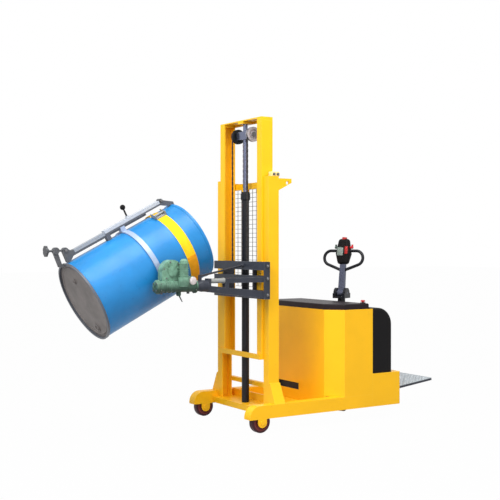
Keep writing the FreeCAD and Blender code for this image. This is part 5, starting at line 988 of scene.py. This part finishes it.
@dataclass
class Step(Assembly):
    """Folding step with the raised pattern of its tread."""

    finishes: dict[str, Finish] = field(default_factory=lambda: {"folding_step": TREAD})
    length: float = 0.455
    half_width: float = 0.300
    top: float = 0.009
    margin: float = 0.024
    hinge_margin: float = 0.040
    pitch: float = 0.034
    stud_length: float = 0.032
    stud_width: float = 0.012
    stud_height: float = 0.0028
    stud_sink: float = 0.0006
    stud_angle: float = 45.0
    stud_sides: int = 12
    stud_point: float = 0.4
    shoulder_share: float = 0.86
    shoulder_height: float = 0.7
    crown_share: float = 0.5

    def build(self, forge: Forge) -> None:
        """Raises the studs of the tread.

        Args:
            forge: Maker of pieces.
        """
        rows = int((self.length - self.margin - self.hinge_margin) / self.pitch)
        columns = int((2 * self.half_width - 2 * self.margin) / self.pitch)
        mesh = bmesh.new()
        for row in range(rows + 1):
            for column in range(columns + 1):
                x = -self.hinge_margin - self.pitch * row
                y = self.pitch * (column - columns / 2)
                turn = math.radians(self.stud_angle if (row + column) % 2 else -self.stud_angle)
                forge.skin(mesh, self.stud(x, y, turn))
        forge.piece(Tag("tread_studs", TREAD_STUD, "folding_step"), mesh)

    def stud(self, x: float, y: float, turn: float) -> list[list[Vector]]:
        """Outlines one pointed, domed stud.

        Args:
            x: Place along the step.
            y: Place across it.
            turn: Angle of its length.

        Returns:
            Rings of points from the foot up.
        """
        levels = (
            (1.0, -self.stud_sink), (self.shoulder_share, self.stud_height * self.shoulder_height),
            (self.crown_share, self.stud_height),
        )
        rings = []
        for share, height in levels:
            ring = []
            for k in range(self.stud_sides):
                angle = 2 * math.pi * k / self.stud_sides
                narrowing = abs(math.sin(angle)) ** self.stud_point
                along = self.stud_length / 2 * share * math.cos(angle)
                across = self.stud_width / 2 * share * math.sin(angle) * narrowing
                spot_x = x + along * math.cos(turn) - across * math.sin(turn)
                spot_y = y + along * math.sin(turn) + across * math.cos(turn)
                ring.append(STEP_FRAME.point(spot_x, spot_y, self.top + height))
            rings.append(ring)
        return rings


@dataclass
class LiftChains:
    """Two leaf chains from the carriage over the sheaves to the fixed mast."""

    track: float = 0.105
    wheel_x: float = JOINTS["sheave_spin"]["pos_m"][0]
    wheel_z: float = JOINTS["sheave_spin"]["pos_m"][2]
    line_radius: float = 0.0493
    carriage_end: float = 1.190
    mast_end: float = 1.752
    pitch: float = 0.0191
    plate_height: float = 0.008
    plate: float = 0.0017
    plate_end_points: int = 6
    outer_plates: tuple[float, ...] = (-0.0052, 0.0, 0.0052)
    inner_plates: tuple[float, ...] = (-0.0026, 0.0026)
    pin_radius: float = 0.0024
    pin_half: float = 0.0068
    pin_sides: int = 10

    def build(self, forge: Forge) -> None:
        """Makes the strands and the turns over the sheaves.

        Args:
            forge: Maker of pieces.
        """
        front = self.wheel_x + self.line_radius
        rear = self.wheel_x - self.line_radius
        strand = self.chain(forge, Tag("chain_front", CHAIN), self.run(front, self.carriage_end))
        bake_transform(strand)
        strand = self.chain(forge, Tag("chain_rear", CHAIN), self.run(rear, self.mast_end))
        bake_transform(strand)
        turn = self.chain(forge, Tag("chain_turn", CHAIN, "inner_mast"), self.arc())
        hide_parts("lift_chains")

    def run(self, x: float, low: float) -> list[Pair]:
        """Spaces the pins of a straight strand up to the sheave, as X and Z."""
        count = round((self.wheel_z - low) / self.pitch)
        return [(x, low + (self.wheel_z - low) * k / count) for k in range(count + 1)]

    def arc(self) -> list[Pair]:
        """Spaces the pins over the sheave.

        Returns:
            X and Z of each pin.
        """
        radius = self.line_radius
        count = round(math.pi * radius / self.pitch)
        turns = [math.pi * k / count for k in range(count + 1)]
        return [(self.wheel_x + radius * math.cos(t), self.wheel_z + radius * math.sin(t)) for t in turns]

    def chain(self, forge: Forge, tag: Tag, pins: list[Pair]) -> Thing:
        """Strings plates and pins along the places, on both sides of the mast.

        Args:
            forge: Maker of pieces.
            tag: Name, finish and body.
            pins: X and Z of each pin.

        Returns:
            The object.
        """
        mesh = bmesh.new()
        radii = (self.pin_radius, self.pin_radius)
        for side in BOTH_SIDES:
            y = side * self.track
            for x, z in pins:
                forge.cone(mesh, self.pin_sides, radii, Vector((x, y, z)), LEFT, 2 * self.pin_half)
            for k, (low, high) in enumerate(zip(pins, pins[1:])):
                for offset in self.outer_plates if k % 2 else self.inner_plates:
                    forge.skin(mesh, self.link_plate(low, high, y + offset))
        return forge.piece(tag, mesh)

    def link_plate(self, low: Pair, high: Pair, y: float) -> list[list[Vector]]:
        """Outlines one round-ended plate between two pins.

        Args:
            low: X and Z of one pin.
            high: X and Z of the other pin.
            y: Middle of its thickness.

        Returns:
            The outline on each face.
        """
        along = math.atan2(high[1] - low[1], high[0] - low[0])
        radius = self.plate_height / 2
        outline = []
        for centre, start in ((high, along - math.pi / 2), (low, along + math.pi / 2)):
            for k in range(self.plate_end_points):
                turn = start + math.pi * k / (self.plate_end_points - 1)
                outline.append((centre[0] + radius * math.cos(turn), centre[1] + radius * math.sin(turn)))
        faces = (y + self.plate / 2, y - self.plate / 2)
        return [[Vector((x, face, z)) for x, z in outline] for face in faces]


@dataclass
class Mast(Assembly):
    """Moving mast, rod, sheaves and chains."""

    finishes: dict[str, Finish] = field(
        default_factory=lambda: {
            "inner_mast_left": YELLOW, "inner_mast_right": YELLOW, "inner_cross_bars": YELLOW,
            "lift_rod": ROD_STEEL, "sheave_axle": STEEL, "mast_rollers": STEEL,
            "chain_sheaves": SHEAVE_PAIR, "lift_chains": CHAIN,
        }
    )
    chains: LiftChains = field(default_factory=LiftChains)

    def build(self, forge: Forge) -> None:
        """Strings the chains."""
        self.chains.build(forge)


@dataclass
class Carriage(Assembly):
    """Carriage, side arm and tipping gearbox."""

    finishes: dict[str, Finish] = field(
        default_factory=lambda: {
            "carriage_bars": DARK, "carriage_plates": DARK, "carriage_rollers_low": STEEL,
            "carriage_rollers_high": STEEL, "tilt_arm": DARK, "gearbox_housing": GREEN,
            "gearbox_cover": GREEN, "tilt_motor": GREEN, "arm_stay": DARK, "arm_sleeve": SLEEVE_STEEL,
            "tilt_release": CLAMP_IRON,
        }
    )
    end_bolt_x: float = -0.043
    end_bolt_y: float = 0.437
    end_bolt_heights: tuple[float, ...] = (0.975, 1.090, 1.180)
    end_bolt_width: float = 0.017
    case_middle: Point = (0.692, 0.400, 1.152)
    case_bolt_radius: float = 0.064
    case_bolt_first: float = 15.0
    barrel_line: Point = (0.0, 0.402, 1.050)
    barrel_radius: float = 0.038
    barrel_flanges: Pair = (0.532, 0.800)
    flange_bolt_radius: float = 0.0426
    flange_bolt_first: float = 30.0
    ring_bolts: int = 6
    cover_face: float = 0.824
    cover_bolt_radius: float = 0.031
    cover_bolt_first: float = 45.0
    cover_bolts: int = 4
    small_bolt_width: float = 0.0085
    rib_lines: tuple[float, ...] = (0.684, 0.716, 0.748)
    rib_profile: tuple[Pair, ...] = ((-0.002, 0.0), (0.0045, 0.002), (0.0045, 0.007), (-0.002, 0.009))
    vent_place: Point = (0.563, 0.402, 1.0885)
    vent_boss: tuple[Pair, ...] = (
        (0.029, 0.0), (0.029, 0.030), (0.031, 0.031), (0.031, 0.037), (0.026, 0.039),
    )
    vent_cap: tuple[Pair, ...] = (
        (0.025, 0.0), (0.025, 0.005), (0.0265, 0.006), (0.0265, 0.011), (0.022, 0.0145), (0.010, 0.0165),
    )
    vent_cap_lift: float = 0.0385
    drain_lines: Pair = (0.576, 0.778)
    drain_sink: float = 0.001
    level_plug: Point = (0.052, 0.0, -0.072)
    plug_width: float = 0.017

    def build(self, forge: Forge) -> None:
        """Bolts the carriage together and fits the gearbox."""
        self.fasteners(forge)
        self.castings(forge)

    def castings(self, forge: Forge) -> None:
        """Adds the barrel's ribs, the vent on its boss and the oil plugs.

        Args:
            forge: Maker of pieces.
        """
        line = Vector(self.barrel_line)
        rib = tuple((self.barrel_radius + proud, along) for proud, along in self.rib_profile)
        ribs = [(line + AHEAD * x, AHEAD) for x in self.rib_lines]
        forge.spun(Tag("barrel_ribs", GREEN, "carriage"), rib, ribs)
        vent = Vector(self.vent_place)
        forge.spun(Tag("vent_boss", GREEN, "carriage"), self.vent_boss, [(vent, LEFT)])
        lifted = vent + LEFT * self.vent_cap_lift
        forge.spun(Tag("vent_cap", PALE_STEEL, "carriage"), self.vent_cap, [(lifted, LEFT)])
        drain = line + DOWN * (self.barrel_radius - self.drain_sink)
        plugs = [(drain + AHEAD * x, DOWN) for x in self.drain_lines]
        plugs.append((Vector(self.case_middle) + Vector(self.level_plug), LEFT))
        forge.bolts(Tag("oil_plugs", CLAMP_IRON, "carriage"), self.plug_width, plugs)

    def fasteners(self, forge: Forge) -> None:
        """Sets bolt heads on the carriage's end plate and round the gearbox.

        Args:
            forge: Maker of pieces.
        """
        ends = [(Vector((self.end_bolt_x, self.end_bolt_y, z)), LEFT) for z in self.end_bolt_heights]
        forge.bolts(Tag("carriage_bolts", STEEL, "carriage"), self.end_bolt_width, ends)
        line = Vector(self.barrel_line)
        near, far = (line + AHEAD * x for x in self.barrel_flanges)
        case = (AHEAD, self.case_bolt_radius, self.ring_bolts, self.case_bolt_first)
        flange = (LEFT, self.flange_bolt_radius, self.ring_bolts, self.flange_bolt_first)
        cover = (LEFT, self.cover_bolt_radius, self.cover_bolts, self.cover_bolt_first)
        rings = (
            (Vector(self.case_middle), LEFT, case),
            (near, AHEAD, flange),
            (far, -AHEAD, flange),
            (line + AHEAD * self.cover_face, AHEAD, cover),
        )
        seats = [(spot, facing) for middle, facing, ring in rings for spot in forge.circle(middle, *ring)]
        forge.bolts(Tag("gearbox_bolts", STEEL, "carriage"), self.small_bolt_width, seats)


@dataclass
class DrumHolder(Assembly):
    """Hoop, clamp bar, strap and the drum itself."""

    finishes: dict[str, Finish] = field(
        default_factory=lambda: {
            "trunnion": STEEL, "holder_hoop": HOOP_STEEL, "clamp_bar": BAR_STEEL,
            "clamp_slider": SLIDER_STEEL, "clamp_jaw": CLAMP_IRON, "clamp_screw": CLAMP_IRON,
            "lock_plunger": BLACK_PLASTIC, "drum_strap": WEBBING, "strap_ratchet": SLEEVE_STEEL,
            "drum_shell": BLUE, "drum_head": DRUM_GREY, "drum_bungs": DRUM_GREY,
        }
    )
    strap_foot: float = 0.2863
    strap_thickness: float = 0.003
    strap_height: float = -0.292
    strap_width: float = 0.076
    strap_steps: int = 180
    doubled_angles: Pair = (97.0, 176.0)
    doubled_share: float = 0.94
    doubled_steps: int = 60
    tail_angles: Pair = (-14.0, 4.0)
    tail_height: float = -0.276
    tail_share: float = 0.5
    tail_steps: int = 16
    stitch_rows: Pair = (2.0, 5.0)
    stitch_count: int = 12
    stitch_length: float = 0.0036
    stitch_radius: float = 0.0007
    stitch_sides: int = 6
    stitch_lift: float = 0.0004
    seam_share: float = 0.84
    bracket_boss: Point = (-0.3713, 0.0182, 0.4095)
    hook_boss: Point = (-0.3543, 0.023, -0.3815)
    pin_width: float = 0.018

    def build(self, forge: Forge) -> None:
        """Lays the webbing and sets the pins."""
        self.webbing(forge)
        self.pins(forge)

    def band(self, angles: Pair, foot: float, middle: float, width: float, steps: int) -> list[list[Vector]]:
        """Cuts a flat band, bent round the drum, into cross-sections.

        Args:
            angles: Start and end in degrees from the clamp bar.
            foot: Radius of its inner face.
            middle: Height of its middle along the drum.
            width: Its width.
            steps: Number of spans.

        Returns:
            Rings of points.
        """
        half = width / 2
        edge = self.strap_thickness / 2
        top = foot + self.strap_thickness
        shape = (
            (foot, -half + edge), (foot + edge, -half), (top - edge / 2, -half + edge / 2),
            (top, -half + 2 * edge), (top, half - 2 * edge), (top - edge / 2, half - edge / 2),
            (foot + edge, half), (foot, half - edge),
        )
        rings = []
        for k in range(steps + 1):
            angle = angles[0] + (angles[1] - angles[0]) * k / steps
            rings.append([DRUM_FRAME.round_point(radius, angle, middle + z) for radius, z in shape])
        return rings

    def webbing(self, forge: Forge) -> None:
        """Lays the tight strap, its doubled end and the loose tail by the ratchet.

        Args:
            forge: Maker of pieces.
        """
        foot = self.strap_foot
        top = foot + self.strap_thickness
        width = self.strap_width
        loop = self.band((0.0, 360.0), foot, self.strap_height, width, self.strap_steps)[:-1]
        strap = forge.ribbon(Tag("webbing_strap", WEBBING, "drum_holder"), loop, True)
        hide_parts("drum_strap")
        doubled = self.band(
            self.doubled_angles, top, self.strap_height, width * self.doubled_share, self.doubled_steps
        )
        end = forge.ribbon(Tag("webbing_doubled_end", ORANGE_WEBBING, "drum_holder"), doubled, False)
        flap = self.band(self.tail_angles, top, self.tail_height, width * self.tail_share, self.tail_steps)
        tail = forge.ribbon(Tag("webbing_tail", WEBBING, "drum_holder"), flap, False)
        seam = self.stitches(forge, top + self.strap_thickness + self.stitch_lift)

    def stitches(self, forge: Forge, outside: float) -> Thing:
        """Sews two rows across the doubled end.

        Args:
            forge: Maker of pieces.
            outside: Radius at which the thread lies.

        Returns:
            The stitches.
        """
        seam = self.strap_width * self.seam_share
        ends = []
        for row in self.stitch_rows:
            angle = self.doubled_angles[0] + row
            for k in range(self.stitch_count):
                z = self.strap_height - seam / 2 + seam * k / (self.stitch_count - 1)
                start = DRUM_FRAME.round_point(outside, angle, z)
                ends.append((start, DRUM_FRAME.round_point(outside, angle, z + self.stitch_length)))
        tag = Tag("webbing_stitches", ORANGE_WEBBING, "drum_holder")
        return forge.rods(tag, ends, self.stitch_radius, self.stitch_sides)

    def pins(self, forge: Forge) -> None:
        """Sets bolt heads on the bracket's boss and on the hook's boss.

        Args:
            forge: Maker of pieces.
        """
        bracket = Tag("bracket_bolts", STEEL, "clamp_slider")
        hook = Tag("hook_bolts", STEEL, "drum_holder")
        for tag, (x, y, z) in ((bracket, self.bracket_boss), (hook, self.hook_boss)):
            seats = [(DRUM_FRAME.point(x, side * y, z), Vector((0.0, side, 0.0))) for side in BOTH_SIDES]
            forge.bolts(tag, self.pin_width, seats)


@dataclass
class Tiller(Assembly):
    """Drive unit, steering column and tiller."""

    finishes: dict[str, Finish] = field(
        default_factory=lambda: {
            "drive_unit": BLACK_PAINT, "drive_wheel": DRIVE_TYRE, "steering_column": BLACK_PAINT,
            "tiller_arm": TILLER_GREY, "tiller_head": BLACK_PLASTIC, "tiller_loops": BLACK_PAINT,
            "throttle": THROTTLE_PAIR, "safety_button": RED,
        }
    )
    pale_slab_low: Point = (0.022, -0.046, 0.298)
    pale_slab_high: Point = (0.0365, 0.008, 0.366)
    pale_slab_bevel: float = 0.006
    switch_low: Point = (0.022, 0.020, 0.312)
    switch_high: Point = (0.0370, 0.046, 0.374)
    switch_bevel: float = 0.005

    def build(self, forge: Forge) -> None:
        """Sets a pale grey slab and the red switch in the head's face.

        Args:
            forge: Maker of pieces.
        """
        lie = TILLER_FRAME.matrix()
        # A pale grey slab raised on the head's face.
        cover = [(self.pale_slab_low, self.pale_slab_high)]
        forge.slabs(Tag("head_cover", COVER_GREY, "tiller"), cover, self.pale_slab_bevel, lie)
        switch = [(self.switch_low, self.switch_high)]
        forge.slabs(Tag("head_switch", RED, "tiller"), switch, self.switch_bevel, lie)


@dataclass(frozen=True)
class Lamp:
    """A soft square lamp, with its power in watts."""

    name: str
    place: Point
    aim: Point
    size: float
    power: float

    def hang(self) -> None:
        """Hangs the lamp where it faces its aim."""
        light = bpy.data.lights.new(self.name, "AREA")
        light.size = self.size
        light.energy = self.power
        lamp = placed(self.name, light)
        lamp.location = self.place
        lamp.rotation_euler = (Vector(self.aim) - Vector(self.place)).to_track_quat("-Z", "Y").to_euler()


@dataclass
class Studio:
    """Floor, sky, soft lamps and the camera."""

    lamps: tuple[Lamp, ...] = (
        Lamp("key", place=(4.7, 2.2, 4.7), aim=(0.2, 0.0, 1.0), size=3.2, power=232.0),
        Lamp("top", place=(0.8, 1.8, 5.0), aim=(0.5, 0.0, 1.0), size=2.8, power=150.0),
        Lamp("fill", place=(1.2, 6.4, 1.7), aim=(-0.2, 0.0, 0.6), size=2.4, power=66.0),
    )
    sky_power: float = 0.7
    floor_shade: float = 0.34
    floor_white: float = 0.985
    floor_reach: float = 40.0
    floor_drop: float = 0.0005
    camera_place: Point = (3.6645, 6.0656, 1.3246)
    camera_turn: float = 32.33
    camera_pitch: float = -0.26
    lens: float = 68.6
    sensor: float = 36.0
    farthest: float = 200.0

    def build(self) -> None:
        """Sets the stage, the lamps and the camera."""
        self.floor()
        self.sky()
        for lamp in self.lamps:
            lamp.hang()
        self.camera()

    def floor(self) -> None:
        """Lays a plain floor that is pale to the camera and keeps the object's shadow."""
        material = bpy.data.materials.new("pale_floor")
        bench = NodeBench(material)
        shade = (self.floor_shade, self.floor_shade, self.floor_shade, 1.0)
        matt = bench.add("BsdfDiffuse", {"Color": shade})
        glow = bench.add("Emission", {"Color": WHITE})
        share = bench.maths("MULTIPLY", bench.seen_direct(), self.floor_white)
        bench.backdrop(matt, glow, share, "OutputMaterial")
        mesh = bmesh.new()
        bmesh.ops.create_grid(mesh, x_segments=1, y_segments=1, size=self.floor_reach)
        floor = placed("floor", settled("floor", mesh))
        floor.location.z = -self.floor_drop
        floor.data.materials.append(material)

    def sky(self) -> None:
        """Lights the scene evenly from a pale sky that is white to the camera."""
        world = bpy.data.worlds.new("studio")
        bpy.context.scene.world = world
        bench = NodeBench(world)
        soft = bench.add("Background", {"Color": WHITE, "Strength": self.sky_power})
        white = bench.add("Background", {"Color": WHITE, "Strength": 1.0})
        bench.backdrop(soft, white, bench.seen_direct(), "OutputWorld")

    def camera(self) -> None:
        """Places the camera where the photograph was taken from."""
        turn = math.radians(self.camera_turn)
        pitch = math.radians(self.camera_pitch)
        right = Vector((-math.cos(turn), math.sin(turn), 0.0))
        level = Vector((-math.sin(turn), -math.cos(turn), 0.0))
        ahead = level * math.cos(pitch) + UP * math.sin(pitch)
        pose = Matrix((right, right.cross(ahead), -ahead)).transposed().to_4x4()
        pose.translation = Vector(self.camera_place)
        data = bpy.data.cameras.new("camera")
        data.sensor_width = self.sensor
        data.lens = self.lens
        data.clip_end = self.farthest
        camera = placed("camera", data)
        camera.matrix_world = pose
        bpy.context.scene.camera = camera


def main() -> None:
    """Builds the looks in order and reports each piece."""
    logging.basicConfig(level=logging.INFO, format="%(name)s: %(message)s")
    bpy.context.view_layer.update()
    forge = Forge(Paintbox())
    for assembly in (Chassis(), Step(), Mast(), Carriage(), DrumHolder(), Tiller()):
        assembly.dress(forge)
    Studio().build()
    bpy.context.scene.view_settings.view_transform = "Standard"


if __name__ == "__main__":
    main()
